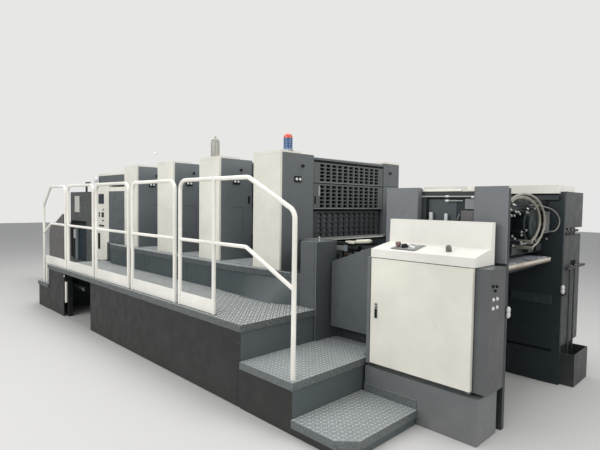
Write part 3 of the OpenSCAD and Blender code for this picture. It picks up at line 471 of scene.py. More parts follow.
# The step front gets painted shade where its rolled sheet leans back and faces up.
step_plate = tread_paint("step_plate", (0.130, 0.144, 0.146), (0.080, 0.090, 0.094), (0.19, 0.20, 0.20),
                         (0.074, 0.090, 0.095), nosing_low / 1000, 0.12)
finish("inner_step", step_plate)
raised_bars("step_bars", [(-4060, 746), (-1480, 746), (-1100, 757), (-700, 790), (-300, 845), (-300, 853),
                          (-4520, 853)], step_level)


def lines(name, spans, coat, rounding=0.0, body="press"):
    """Thin strips in one piece: each is a low and a high corner, in millimetres."""
    work = bmesh.new()
    for low, high in spans:
        low, high = at(*low), at(*high)
        corners = [work.verts.new((x, y, z))
                   for z in (low[2], high[2]) for y in (low[1], high[1]) for x in (low[0], high[0])]
        for quad in ((0, 2, 3, 1), (4, 5, 7, 6), (0, 1, 5, 4), (2, 6, 7, 3), (0, 4, 6, 2), (1, 3, 7, 5)):
            work.faces.new([corners[i] for i in quad])
    if rounding:
        round_off(work, rounding / 1000)
    return built(name, work, coat, body)


def crisp(work):
    """Turns all faces outward and keeps the sharp edges of smooth walls sharp."""
    bmesh.ops.recalc_face_normals(work, faces=work.faces[:])
    for edge in work.edges:
        edge.smooth = len(edge.link_faces) == 2 and edge.calc_face_angle(0) < 0.6


step_end, run_out, curved_length, turn_back = -184, 64, 1320, 266
lean_start, knee = step_end - curved_length, step_end - turn_back
columns, rows, sheet_thickness = 72, 10, 0.6
skin_work = bmesh.new()
step_rings = []
for i in range(columns + 1):
    x = lean_start + (step_end - 0.5 - lean_start) * i / columns
    share = min(1.0, (x - lean_start) / (knee - lean_start))
    eased = share * share * (3 - 2 * share)
    foot = step_front - run_out * eased + max(0.0, x - knee) * math.tan(math.radians(30))
    head = step_front + max(0.0, x - lean_start - 350) * 0.14
    turned_in = min(1.0, max(0.0, (x - knee + 80) / 80))
    ring = []
    for j in [*range(rows + 1), *range(rows, -1, -1)]:
        up = j / rows
        belly = 1.0 + 31.0 * up * (1 - up) * turned_in
        y = foot + (head - foot) * up - belly + (sheet_thickness if len(ring) > rows else 0.0)
        ring.append(skin_work.verts.new(at(x, y, deck_level + 0.2 + (nosing_low - deck_level - 0.4) * up)))
    step_rings.append(ring)
skin(skin_work, step_rings, True)
crisp(skin_work)
built("step_front_sheet", skin_work, step_plate)
seam_dark = enamel("seam_dark", (0.010, 0.011, 0.012), 0.8, 0.15, dirt=(0.03, 0.03, 0.028), gloss=0.08)
step_seams = [((x, step_front - 0.8, 634), (x + 2.5, step_front + 0.4, 849)) for x in (-3012, -1975)]
lines("step_seams", step_seams, seam_dark)

# Guard rails: bent steel tube with toe boards welded between the posts, stove-enamelled ivory.
# The posts drop into the sockets of the frame. The enamel is scuffed at hand height and dusty at the foot.
rail_ivory = enamel("rail_ivory", (0.80, 0.78, 0.71), 0.33, 0.06, 0.0, 0.0, 0.04, dirt=(0.42, 0.38, 0.30))
for n in range(1, 6):
    finish("guard_rail_%d" % n, rail_ivory)
post_places = (-418, -940, -1032, -1877, -1969, -2814, -2906, -3751, -3843)
rail_feet = [((x - 22, 24, deck_level + 0.2), (x + 22, 68, deck_level + 2.5)) for x in post_places]
lines("rail_feet", rail_feet, seam_dark)

# Machine bed: the cast frame under the units, painted dark and bolted to the floor.
# Oily dust lies along its ledges.
bed_dark = enamel("bed_dark", (0.026, 0.031, 0.034), 0.5, 0.3, 0.2, 0.05, dirt=(0.050, 0.050, 0.046),
                  gloss=0.25)
finish("press_bed", bed_dark)

# Printing units: steel housings on both sides of the cylinders, sprayed slate gray with a faint blue. The
# delivery side of each has a small box with two white push-buttons and two black knobs, and on the first
# three a slot handle. A checker-plate sill lies between two units.
unit_gray = enamel("unit_gray", (0.116, 0.129, 0.132), 0.40, 0.14, 0.0, 0.10, 0.08,
                   dirt=(0.075, 0.085, 0.088))
# Painted light: units 1 to 3 take a lighter copy of the same slate gray as unit 4.
unit_slate_painted_light = enamel("unit_slate_painted_light", (0.160, 0.177, 0.184), 0.40, 0.14, 0.0, 0.10, 0.08,
                   dirt=(0.09, 0.10, 0.104))
for n in range(1, 4):
    finish("unit_body_%d" % n, unit_slate_painted_light)
finish("unit_body_4", unit_gray)
moulded_black = enamel("moulded_black", (0.010, 0.010, 0.011), 0.5, 0.12, dirt=(0.04, 0.04, 0.04),
                       gloss=0.18)
button_white = enamel("button_white", (0.82, 0.82, 0.80), 0.28, 0.08, dirt=(0.4, 0.38, 0.34))
last_face, unit_pitch, unit_width, unit_top = -523, 982, 399, 2044
unit_faces = [last_face - unit_pitch * n for n in range(4)]
unit_left = [x - unit_width for x in unit_faces]
gap_level = step_level + 1.4
gaps = list(zip(unit_faces[1:], unit_left))
lines("gap_plates", [((low + 1, 876, step_level - 0.2), (high - 1, 1296, gap_level)) for low, high in gaps],
      step_plate)
for count, (low, high) in enumerate(gaps, 1):
    sill = [(low + 8, 880), (high - 8, 880), (high - 8, 1290), (low + 8, 1290)]
    raised_bars("gap_bars_%d" % count, sill, gap_level)


def turned(name, profiles, coat, around=24, body="press"):
    """Turned pieces in one mesh: each has a foot, a direction and (radius, height) steps in millimetres."""
    work = bmesh.new()
    for foot, way, profile in profiles:
        up = Vector(way).normalized()
        side = up.orthogonal().normalized()
        across = up.cross(side)
        rings = []
        for radius, height in profile:
            centre = at(*foot) + up * (height / 1000)
            turns = [2 * math.pi * k / around for k in range(around if radius else 1)]
            rings.append([work.verts.new(centre + (side * math.cos(a) + across * math.sin(a)) * radius / 1000)
                          for a in turns])
        skin(work, rings)
    crisp(work)
    for face in work.faces:
        face.smooth = len(face.verts) < around
    return built(name, work, coat, body)


def knob(radius, height):
    """Steps of a round knob on a narrower foot."""
    foot = radius * 0.72
    return [(foot, -1), (foot, height * 0.25), (radius, height * 0.35), (radius, height * 0.85),
            (radius * 0.86, height), (0, height)]


turned("unit_knobs", [((x, y, z), endward, knob(15, 20)) for x in unit_faces
                      for y, z in ((1141, 1907), (2617, 1913))], moulded_black)
lines("button_boxes", [((x - 1, 1033, 1745), (x + 9, 1124, 1805)) for x in unit_faces], moulded_black,
      2.5)
turned("unit_buttons", [((x + 9, y, 1775), endward, [(14, -1), (14, 5), (12, 8), (0, 8.6)])
                        for x in unit_faces for y in (1057, 1101)], button_white)
lines("slot_handles", [((x - 1, 1248, 1530), (x + 4, 1276, 1616)) for x in unit_faces[1:]], moulded_black,
      2.0)
lines("unit_seams", [((x - 0.5, 2495, 1756), (x + 0.5, 2805, 1760)) for x in unit_faces]
      + [((x - 0.5, 1030, 1488), (x + 0.5, 1180, 1491)) for x in unit_faces[1:]]
      + [((x - 0.5, 1178, 1200), (x + 0.5, 1181, 1491)) for x in unit_faces[1:]], seam_dark)
finish("inner_guards", enamel("inner_guard_gray", (0.038, 0.043, 0.045), 0.45, 0.25,
                              dirt=(0.07, 0.07, 0.065)))

# White front covers: folded sheet over the operator side of each unit with a cap on top, stove-enamelled
# cream white. Their upper part is left bare, and the lower edge is dusty from shoes on the step.
cover_white = enamel("cover_white", (0.785, 0.765, 0.672), 0.36, 0.02, 0.0, 0.0, 0.02,
                     dirt=(0.50, 0.47, 0.38))
finish("unit_covers", cover_white)
lines("cover_seams", [((x + 6, 854.6, 2010), (x + 393, 855.4, 2012)) for x in unit_left]
      + [((x + 396, 854.6, 908), (x + 398.2, 855.6, 2010)) for x in unit_left],
      enamel("cover_joint", (0.50, 0.49, 0.44), 0.5, 0.2))

# Cylinder guards of the last unit: two hinged leaves of sheet with rows of square holes, sprayed gray. A
# dark header with a round bar closes the gap above, and the lower leaf has a pressed handle at its left
# end. A pale strip along the lower edge of each leaf is a painted highlight.
guard_gray = enamel("guard_gray", (0.098, 0.103, 0.100), 0.42, 0.14, 0.0, 0.2, dirt=(0.07, 0.072, 0.07))
# Pale colour of the header's round bar and of the painted highlight strips along the leaves' lower edges.
pale_bar_and_highlight = enamel("pale_bar_and_highlight", (0.34, 0.35, 0.33), 0.35, 0.2)
finish("upper_guard", guard_gray)
finish("lower_guard", guard_gray)
lines("upper_guard_painted_highlight", [((-528, 1318, 1756), (-526.2, 2476, 1760))], pale_bar_and_highlight, 0.5,
      "upper_guard")
lines("lower_guard_painted_highlight", [((-528, 1318, 1489), (-526.2, 2476, 1493))], pale_bar_and_highlight, 0.5,
      "lower_guard")
lines("guard_backing", [((-584, 1312, 1490), (-581, 2481, 1742)), ((-584, 1312, 1757), (-581, 2481, 1958)),
                        ((-584, 1300, 1438), (-560, 2484, 1480))], seam_dark)
lines("guard_headers", [((last_face - 34, 1280, 1968), (last_face - 12, 2480, 1994))], moulded_black,
      2.0)
turned("guard_header_bar", [((-538, 1304, 2001), (0, 1, 0.008),
                             [(5, 0), (7, 2), (7, 1180), (5, 1182), (0, 1182)])], pale_bar_and_highlight,
       12)
pressed = enamel("pressed_handle", (0.36, 0.37, 0.35), 0.35, 0.2)
lines("lower_guard_handle", [((-528, 1376, 1617), (-519, 1400, 1720))], pressed, 4.0,
      "lower_guard")
lines("lower_guard_latch", [((-528, 1322, 1540), (-521, 1340, 1615))], moulded_black, 2.0,
      "lower_guard")

# Signal lamps: a beacon with a ribbed blue body and a red dome on the last unit, a clear dome on the third,
# and a thin rod with a ball on the first. Moulded plastic on screwed feet.


def lamp_plastic(name, colour, rough, clear, ribbed=False):
    """Moulded plastic with a thin film of dust and, where ribbed, painted highlights on the rib slopes."""
    material, tree, where, _ = fresh(name)
    film = spread(tree, cloud(tree, where, 30.0, 6.0), 0.45, 0.75, 0.0, 0.35)
    coat = tint(tree, film, colour, shade(colour, 0.6, 0.08))
    if ribbed:
        height = reckon(tree, "SUBTRACT", along(tree, where, "Z"), first_rib / 1000)
        # Painted highlight: a paler blue band on the upward slope of each rib.
        crest_highlight = spread(tree, reckon(tree, "MODULO", height, rib_pitch / 1000), 0.009, 0.0115, 0.85, 0.0)
        coat = tint(tree, crest_highlight, coat, (0.075, 0.19, 0.40))
    uneven = spread(tree, cloud(tree, where, 40.0, 5.0), 0.3, 0.7, rough, rough + 0.16)
    look = {"Base Color": coat, "Roughness": uneven, "Transmission Weight": clear, "Coat Weight": 0.3}
    feed(tree, tree.nodes["Principled BSDF"], look)
    raise_grain(tree, cloud(tree, where, 260.0, 2.0), 0.0003, 0.4)
    return material


first_rib, rib_pitch = 2059, 17
lamp_foot = lamp_plastic("lamp_foot", (0.30, 0.30, 0.30), 0.4, 0.0)
blue_lens = lamp_plastic("blue_lens", (0.014, 0.034, 0.11), 0.25, 0.0, True)
red_dome = lamp_plastic("red_dome", (0.66, 0.085, 0.055), 0.25, 0.1)
clear_dome = lamp_plastic("clear_dome", (0.34, 0.33, 0.285), 0.25, 0.1)
ribs = [(46, 12)]
for foot in range(16, 16 + 6 * rib_pitch, rib_pitch):
    ribs += [(45, foot), (45, foot + 8), (41, foot + 10), (41, foot + 15)]
dome_radius, dome_foot = 44, 122
dome_turns = [a * math.pi / 20 for a in range(10)]
dome = [(dome_radius * math.cos(a), dome_foot + dome_radius * math.sin(a)) for a in dome_turns]
beacon_place, clear_place = (-565, 985, unit_top), (-1700, 930, unit_top)
beacon = turned("beacon_body", [(beacon_place, upward, ribs + [(41, 121), (0, 121)])], blue_lens,
                32)
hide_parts("signal_lamps")
turned("beacon_foot", [(beacon_place, upward, [(50, 0), (50, 9), (47, 12), (0, 12.5)]),
                       (clear_place, upward, [(51, 0), (51, 6), (49, 8), (0, 8.5)])], lamp_foot,
       32)
turned("beacon_dome", [(beacon_place, upward, [(45, 118), (45, 122)] + dome
                        + [(0, dome_foot + dome_radius)])], red_dome, 32)
turned("clear_dome", [(clear_place, upward, [(49, 8), (50, 60), (49.5, 150), (47, 176), (40, 198),
                                             (28, 209), (12, 213), (12, 230), (8, 235), (0, 236)])],
       clear_dome, 40)
turned("thin_rod", [((unit_left[3] + 83, 1290, 2024), upward,
                     [(14, 0), (14, 6), (6, 9), (6, 210), (10, 213), (17, 222), (19, 231), (16, 242),
                      (8, 248), (0, 249)])], button_white, 16)

# Delivery box and side panel: closed sheet housings at the end of the walkway, screwed to the side frame.
# The paint is a little darker than the units'. Pale strips along the box's corner and top edges and along
# the side panel's edges are painted highlights.
delivery_gray = enamel("delivery_gray", (0.088, 0.099, 0.103), 0.40, 0.16, 0.10, 0.10, 0.06,
                       dirt=(0.10, 0.108, 0.108))
side_gray = enamel("side_gray", (0.098, 0.110, 0.116), 0.36, 0.16, 0.0, 0.1, 0.08, dirt=(0.15, 0.155, 0.15))
finish("delivery_box", delivery_gray)
finish("delivery_side_panel", side_gray)
box_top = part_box("delivery_box")[1][2] * 1000
lines("delivery_box_seams", [((7, 801, 362), (7.6, 803, box_top - 3)),
                             ((-16, 797.5, 362), (-14, 798.4, box_top - 3))], seam_dark)
# Painted highlights: pale strips along the box's corner and top edges and the side panel's edges.
edge_highlight_gray = enamel("edge_highlight_gray", (0.20, 0.22, 0.225), 0.35, 0.3, dirt=(0.12, 0.13, 0.132))
lines("delivery_box_painted_highlights", [((2, 797.2, 362), (6.8, 798.4, box_top - 3)),
                             ((-160, 797.2, box_top - 3), (6.8, 799.5, box_top + 0.3)),
                             ((3.5, 799.5, box_top - 3), (7.5, 1060, box_top + 0.3))], edge_highlight_gray)
turned("side_panel_painted_highlights", [((31, 977.6, 1034.6), (548, 0, 201), [(2.0, 0), (2.0, 580), (0, 580)]),
                            ((31, 977.6, 470), upward, [(1.6, 0), (1.6, 563), (0, 563)])], edge_highlight_gray,
       10)
zinc = bright_metal("zinc_plate", (0.62, 0.62, 0.60), 0.35)
turned("box_pin", [((-60, 905, box_top - 1), upward, [(7, 0), (7, 4), (4, 6), (4, 26), (7, 30), (7, 40),
                                                      (0, 42)])], zinc, 12)

# Chain housing with its roller and motor: dark casting under the chains, a cream roller across the gap,
# a gray bracket and a small black motor behind it.
housing_dark = enamel("housing_dark", (0.014, 0.018, 0.020), 0.5, 0.4, 0.1, 0.2, dirt=(0.045, 0.045, 0.04),
                      gloss=0.2)
finish("chain_housing", housing_dark)
cover_line = [(-518, 1183), (-518, 1196), (-81, 1217), (468, 1281), (468, 1274), (-81, 1209), (-500, 1183)]
cover_work = bmesh.new()
skin(cover_work, [[cover_work.verts.new(at(x, y, z)) for x, z in cover_line] for y in (1116, 2296)])
bmesh.ops.recalc_face_normals(cover_work, faces=cover_work.faces[:])
chain_gray = enamel("chain_cover_gray", (0.150, 0.152, 0.148), 0.45, 0.45, 0.0, 0.2,
                    dirt=(0.08, 0.08, 0.075))
built("chain_cover", cover_work, chain_gray)
turned("chain_cover_edge", [((-81, 1115, 1214), (549, 0, 64), [(4, 0), (4, 552), (0, 552)])], pressed,
       10)
roller_cream = enamel("roller_cream", (0.66, 0.64, 0.52), 0.35, 0.2, dirt=(0.3, 0.28, 0.2))
turned("roller", [((200, 1072, 1216), (172, 0, 17), [(8, -30), (8, 22), (16, 24), (17, 27), (17, 164),
                                                     (15, 168), (9, 169), (9, 184), (0, 184)])],
       roller_cream, 20)
lines("roller_clamp", [((104, 1060, 1206), (134, 1084, 1218)), ((134, 1058, 1198), (206, 1086, 1222))],
      roller_cream, 4.0)
lines("roller_bracket", [((-13, 1056, 1131), (92, 1112, 1175))],
      enamel("bracket_green", (0.15, 0.17, 0.155), 0.4, 0.4, dirt=(0.05, 0.055, 0.05)), 4.0)
lines("roller_bracket_plate", [((92, 1056, 1126), (130, 1112, 1181))],
      enamel("bracket_blue", (0.18, 0.20, 0.23), 0.35, 0.3), 3.0)
lines("roller_bracket_edge", [((-22, 1050, 1110), (-8, 1112, 1160))],
      enamel("bracket_worn", (0.52, 0.54, 0.52), 0.35, 0.3), 2.0)
turned("small_motor", [((128, 1084, 1158), endward, [(20, 0), (25, 3), (25, 60), (22, 62), (22, 70),
                                                     (25, 72), (25, 112), (18, 118), (0, 120)]),
                       ((18, 1112, 1082), outward, [(36, 0), (36, 38), (30, 44), (16, 46), (16, 54),
                                                    (0, 54)])], moulded_black, 20)
turned("small_gear", [((84, 1090, 1101), endward, [(12, 0), (19, 1), (19, 22), (14, 24), (14, 40), (19, 42),
                                                   (19, 84), (10, 88), (0, 88)])],
       enamel("oily_brown", (0.050, 0.042, 0.028), 0.4, 0.4), 18)
lines("cable_duct", [((-20, 1062, 1184), (142, 1112, 1206))], moulded_black, 3.0)
turned("air_pipes", [((178, 1098, 1124), (192, 0, 12), [(7, 0), (7, 200), (0, 200)]),
                     ((178, 1098, 1142), (192, 0, 4), [(5, 0), (5, 200), (0, 200)])],
       enamel("pipe_lilac", (0.15, 0.145, 0.165), 0.35, 0.3), 10)

# Side frames of the delivery and their covers: cast plates in dark gray with sheet covers screwed over
# them. The cover of the end post catches the most light.
frame_dark = enamel("frame_dark", (0.030, 0.035, 0.038), 0.45, 0.3, 0.1, 0.15, dirt=(0.055, 0.058, 0.056),
                    gloss=0.3)
post_gray = enamel("post_gray", (0.150, 0.162, 0.170), 0.34, 0.14, 0.0, 0.1, 0.10, dirt=(0.09, 0.10, 0.105))
frame_oily = enamel("frame_oily", (0.022, 0.031, 0.034), 0.5, 0.3, 0.0, 0.1, dirt=(0.030, 0.036, 0.036),
                    gloss=0.25)
for part in ("operator_frame", "delivery_rails"):
    finish(part, frame_dark)
finish("drive_frame", frame_oily)
foot_panel_gray = enamel("foot_panel_gray", (0.070, 0.086, 0.090), 0.45, 0.25, dirt=(0.05, 0.055, 0.052),
                         gloss=0.35)
lines("foot_panel", [((1052, 2294, 14), (1412, 2300.6, 272))], foot_panel_gray, 2.0)
lines("inner_rail", [((1060, 2293, 690), (1408, 2300.6, 776))],
      enamel("rail_oily", (0.036, 0.050, 0.054), 0.45, 0.3, gloss=0.3), 3.0)
lines("foot_panel_gap", [((1016, 2297, 278), (1416, 2300.5, 300))], seam_dark)
finish("operator_covers", post_gray)
sill_white = enamel("sill_white", (0.62, 0.66, 0.62), 0.35, 0.15, dirt=(0.3, 0.3, 0.27))
lines("window_sill_posts", [((885, 1112, 1182), (912, 1134, 1487)),
                            ((1010, 1112, 1182), (1034, 1134, 1480))], sill_white, 4.0)
lines("window_panel", [((862, 1143, 1182), (1090, 1149.4, 1586))],
      enamel("panel_blue", (0.070, 0.084, 0.089), 0.4, 0.15, dirt=(0.05, 0.06, 0.062), gloss=0.3),
      1.0)
lines("window_recess", [((1090, 1144, 1182), (1268, 1149.4, 1586))], frame_oily)
lines("window_box", [((1168, 1116, 1514), (1262, 1146, 1590))],
      enamel("box_blue", (0.20, 0.215, 0.225), 0.4, 0.15), 4.0)
lines("window_motor", [((1135, 1112, 1300), (1246, 1146, 1508))],
      enamel("motor_gray", (0.105, 0.100, 0.098), 0.4, 0.3), 14.0)
turned("window_rods", [((824, 1104, 1606), endward, [(5, 0), (5, 416), (0, 416)]),
                       ((1046, 1104, 1575), endward, [(3.5, 0), (3.5, 112), (0, 112)]),
                       ((1104, 1136, 1436), (18, 0, 44), [(4, 0), (4, 46), (0, 46)])], pressed,
       12)
lines("rod_clips", [((1022, 1098, 1600), (1050, 1111, 1614)), ((1022, 1098, 1568), (1050, 1111, 1583)),
                    ((1222, 1098, 1594), (1244, 1111, 1611))], sill_white, 3.0)
lines("frame_cap", [((823, 1112, 1641.8), (1140, 1132, 1659))], cover_white, 5.0)
lines("frame_block", [((1184, 1114, 1641.8), (1238, 1142, 1680))], cover_white, 2.0)
handle_gray = enamel("handle_gray", (0.60, 0.60, 0.58), 0.3, 0.5, dirt=(0.22, 0.22, 0.21))
oval = [(17, -1), (17, 4), (25, 8), (25, 14), (19, 20), (8, 23), (0, 23.4)]
turned("frame_knobs", [((1480, 1139, 800), endward, oval), ((1480, 1139, 832), endward, oval),
                       ((1480, 2302, 820), endward, oval), ((1480, 2302, 848), endward, oval)], handle_gray,
       20)
lines("frame_lever", [((1480, 2312, 776), (1494, 2404, 789))], moulded_black, 2.0)

# Drive-side covers: a tall box beside the hoist with the gear gap in it, and a cream top cover over the
# chains.
cover_gray = enamel("cover_gray", (0.050, 0.054, 0.053), 0.45, 0.20, 0.10, 0.10, 0.08,
                    dirt=(0.045, 0.047, 0.045), gloss=0.35)
kick_black = enamel("kick_black", (0.012, 0.014, 0.014), 0.6, 0.3, 0.1, dirt=(0.03, 0.03, 0.028),
                    gloss=0.15)
lines("cover_kick", [((1300, 2342, 4), (1452, 2784, 334))], kick_black, 3.0)
finish("drive_cover", cover_gray)
finish("drive_top_cover", enamel("top_cream", (0.78, 0.76, 0.685), 0.38, 0.12, dirt=(0.4, 0.37, 0.3)))
lines("top_cover_slot", [((1433, 2500, 1668), (1434.2, 2526, 1680))], seam_dark)
lines("drive_cover_seams", [((1479.6, 2478, 300), (1480.6, 2481, 1290)),
                            ((1479.6, 2648, 300), (1480.6, 2651, 990)),
                            ((1479.8, 2346, 1288), (1480.7, 2788, 1291))], seam_dark)
lines("hoist_recess", [((1479.5, 2522, 1012), (1481, 2667, 1065))], seam_dark)
sprocket = [(6, -12), (30, -11), (34, -8), (34, -3), (30, 0), (14, 1), (14, 7), (8, 9), (0, 9)]
turned("hoist_sprockets", [((1462, y, 1327), endward, sprocket) for y in (2400, 2490, 2580, 2670)],
       enamel("oiled_steel", (0.060, 0.060, 0.058), 0.4, 0.5, dirt=(0.12, 0.115, 0.10)), 18)
turned("hoist_bolts", [((1452, y, z), endward, [(10, 0), (10, 26), (7, 30), (0, 31)])
                       for y, z in ((2352, 1338), (2445, 1345), (2535, 1342), (2720, 1330))], screw_steel,
       10)

# Delivery head: black castings that carry the grippers and the fan drum, with fittings, valves and cables
# bolted all over the front. Oil has left it darker below.
head_black = enamel("head_black", (0.013, 0.017, 0.019), 0.4, 0.35, 0.0, 0.2, dirt=(0.030, 0.037, 0.039),
                    gloss=0.28)
finish("delivery_head", head_black)
worn_steel = bright_metal("worn_steel", (0.55, 0.55, 0.53), 0.32, 0.6)
drum_y, drum_z = 1890, 1390
turned("drum_rings", [((1349, drum_y, drum_z), endward,
                       [(150, -2), (150, 3), (146, 5), (126, 5), (124, 2)]),
                      ((1379, drum_y, drum_z), endward, [(112, -2), (112, 3), (108, 5), (64, 5), (60, 2)]),
                      ((1384, drum_y, drum_z), endward, [(38, -2), (36, 2), (20, 3), (18, 4), (0, 4)])],
       frame_oily, 48)
ring_bolts = [((1354, drum_y + 136 * math.cos(a * math.pi / 4), drum_z + 136 * math.sin(a * math.pi / 4)),
               endward) for a in range(8)]
dull_steel = bright_metal("dull_steel", (0.12, 0.12, 0.12), 0.45, 0.6)
studs("drum_bolts", [(at(*p), d) for p, d in ring_bolts], 0.0075, 0.007, 6, dull_steel)
fittings = [(1420, 1513), (1427, 1471), (1485, 1470), (1738, 1492), (1457, 1317), (1634, 1344),
            (1733, 1354), (1636, 1320), (1742, 1254), (1632, 1266), (1479, 1247), (2203, 1266),
            (1942, 1265), (1907, 1522), (1470, 1550), (1512, 1498), (1591, 1482), (1751, 1520),
            (1509, 1297), (1651, 1250), (1841, 1248), (1995, 1272)]
stems = [((1340 if z > 1500 else 1300 if z < 1290 else 1180) - 1, y, z) for y, z in fittings]
turned("head_stems", [((x, y, z), endward, [(6, 0), (6, 1372 - x), (0, 1372 - x)]) for x, y, z in stems],
       head_black, 10)
turned("head_fittings", [((1371, y, z), endward, [(8, 0), (10, 2), (10, 8), (7, 9), (7, 13), (0, 13)])
                         for y, z in fittings], worn_steel, 14)
lines("head_fitting_bars", [((1366, 1742, 1249), (1378, 1782, 1258)),
                            ((1366, 1738, 1487), (1378, 1778, 1496)),
                            ((1366, 1632, 1244), (1379, 1736, 1257)),
                            ((1366, 1510, 1493), (1378, 1586, 1503)),
                            ((1366, 1840, 1244), (1378, 1896, 1253)),
                            ((1366, 1470, 1545), (1378, 1520, 1555))], worn_steel, 2.0)
lines("head_blocks", [((1299, 1190, 1160), (1352, 1300, 1215)), ((1299, 1330, 1176), (1344, 1440, 1226)),
                      ((1299, 1560, 1168), (1338, 1650, 1222)), ((1299, 1900, 1166), (1340, 2010, 1214)),
                      ((1299, 2070, 1172), (1346, 2180, 1230)), ((1180, 1200, 1300), (1238, 1330, 1392)),
                      ((1180, 2080, 1302), (1266, 2140, 1440)), ((1339, 1170, 1512), (1356, 1290, 1590)),
                      ((1339, 1900, 1540), (1352, 2110, 1592))],
      enamel("valve_block", (0.020, 0.023, 0.024), 0.4, 0.4, dirt=(0.06, 0.06, 0.055)), 4.0)
lines("head_plate", [((1370, 2138, 1316), (1379, 2260, 1498)), ((1179, 2150, 1380), (1371, 2170, 1400))],
      enamel("head_plate_gray", (0.14, 0.145, 0.14), 0.4, 0.35), 2.0)
studs("head_bolts", [(at(1340, y, 1580), endward) for y in range(1180, 2290, 120)]
      + [(at(1300, y, 1276), endward) for y in range(1190, 2290, 100)]
      + [(at(1379, y, z), endward) for y in (2152, 2246) for z in (1334, 1482)], 0.008, 0.007, 6,
      dull_steel)

# Air hoses and cable of the head: pale plastic hose that loops over the drum and ends in the head,
# and a thin gray cable clipped at both ends.
hose_tan = enamel("hose_tan", (0.27, 0.255, 0.205), 0.38, 0.5, dirt=(0.07, 0.07, 0.06))
finish("delivery_hoses", hose_tan)


def swept(name, path, radius, coat, around=10, fine=6):
    """A tube along a smooth curve through the points, closed at both ends, in millimetres."""
    points = [at(*p) for p in path]
    ends = [points[0] * 2 - points[1]] + points + [points[-1] * 2 - points[-2]]
    line = []
    for a, b, c, d in zip(ends, ends[1:], ends[2:], ends[3:]):
        for t in (step / fine for step in range(fine)):
            bend = (2 * a - 5 * b + 4 * c - d) * t * t + (3 * b - a - 3 * c + d) * t ** 3
            line.append(0.5 * (2 * b + (c - a) * t + bend))
    line.append(points[-1])
    work = bmesh.new()
    side = (line[1] - line[0]).orthogonal().normalized()
    turns = [2 * math.pi * j / around for j in range(around)]
    rings = []
    for k, centre in enumerate(line):
        way = (line[min(k + 1, len(line) - 1)] - line[max(k - 1, 0)]).normalized()
        side = (side - way * side.dot(way)).normalized()
        other = way.cross(side)
        rings.append([work.verts.new(centre + (side * math.cos(a) + other * math.sin(a)) * radius / 1000)
                      for a in turns])
    skin(work, rings, True)
    bmesh.ops.recalc_face_normals(work, faces=work.faces[:])
    built(name, work, coat)


cable_gray = enamel("cable_gray", (0.20, 0.20, 0.18), 0.4, 0.3)
swept("head_cable", [(1339, 1862, 1550), (1405, 1880, 1549), (1412, 2022, 1539), (1425, 2152, 1519),
                     (1440, 2240, 1482), (1450, 2277, 1435), (1450, 2271, 1388), (1440, 2244, 1350),
                     (1420, 2221, 1333), (1378, 2214, 1330)], 5.0, cable_gray)

# Pile board: a thick plywood board on the steel carrier of the hoist, stained by oil, with dark lower
# plies. A pale sheet lies on it, slightly wavy; the blue of its colour and its blue patches are painted
# shade.
board_wood, wood, where, _ = fresh("board_wood")
grain = spread(wood, cloud(wood, where, 9.0, 8.0, 0.6, (1.0, 0.06, 12.0)), 0.35, 0.65, 0.0, 1.0)
board_colour = tint(wood, grain, (0.62, 0.57, 0.48), (0.42, 0.38, 0.31))
stains = spread(wood, cloud(wood, where, 6.0, 8.0, 0.7), 0.5, 0.7, 0.0, 0.6)
board_colour = tint(wood, stains, board_colour, (0.17, 0.15, 0.12))
lower_plies = spread(wood, along(wood, where, "Z"), 1.0815, 1.0845, 0.85, 0.0)
board_colour = tint(wood, lower_plies, board_colour, (0.085, 0.062, 0.040))
feed(wood, wood.nodes["Principled BSDF"], {"Base Color": board_colour, "Roughness": 0.6})
raise_grain(wood, grain, 0.0006, 0.7)
finish("pile_board", board_wood)
# The sheet is pale; the blue of its colour and its blue patches are painted shade from the head above it.
sheet_with_painted_shade = enamel("sheet_with_painted_shade", (0.86, 0.90, 0.97), 0.22, 0.35, dirt=(0.42, 0.54, 0.80))
sheet_x, sheet_y, sheet_length, sheet_width, sheet_low = 480, 1206, 896, 1058, 1106.2
columns, rows = 40, 44
sheet_work = bmesh.new()
grid = []
for i in range(columns + 1):
    x = sheet_x + sheet_length * i / columns
    line = []
    for j in range(rows + 1):
        y = sheet_y + sheet_width * j / rows
        waves = 1 + math.sin(x / 61.0 + 1.7 * math.sin(y / 97.0))
        lift = 2.2 * waves * (0.5 + 0.5 * math.sin(y / 143.0 + x / 310.0)) ** 2
        line.append(sheet_work.verts.new(at(x, y, sheet_low + lift)))
    grid.append(line)
for near, far in zip(grid, grid[1:]):
    for j in range(rows):
        sheet_work.faces.new((near[j], far[j], far[j + 1], near[j + 1])).smooth = True
bmesh.ops.solidify(sheet_work, geom=sheet_work.faces[:], thickness=0.0006)
board_cover = built("cover_sheet", sheet_work, sheet_with_painted_shade, "pile_board")

# Pile carrier, hoist rods and floor box: welded bars under the board, threaded rods to a bracket plate,
# and a folded steel box round their feet.
finish("pile_carrier", frame_dark)
rod_steel = bright_metal("rod_steel", (0.085, 0.088, 0.088), 0.5, 0.5)
finish("hoist_rods", rod_steel)
finish("floor_box", enamel("floor_box_gray", (0.021, 0.025, 0.026), 0.45, 0.25, 0.12, 0.1,
                           dirt=(0.06, 0.06, 0.055), gloss=0.3))
studs("hoist_nuts", [(at(1498, y, z), upward) for y in (2460, 2600) for z in (998, 1023)], 0.013, 0.010, 6,
      screw_steel)

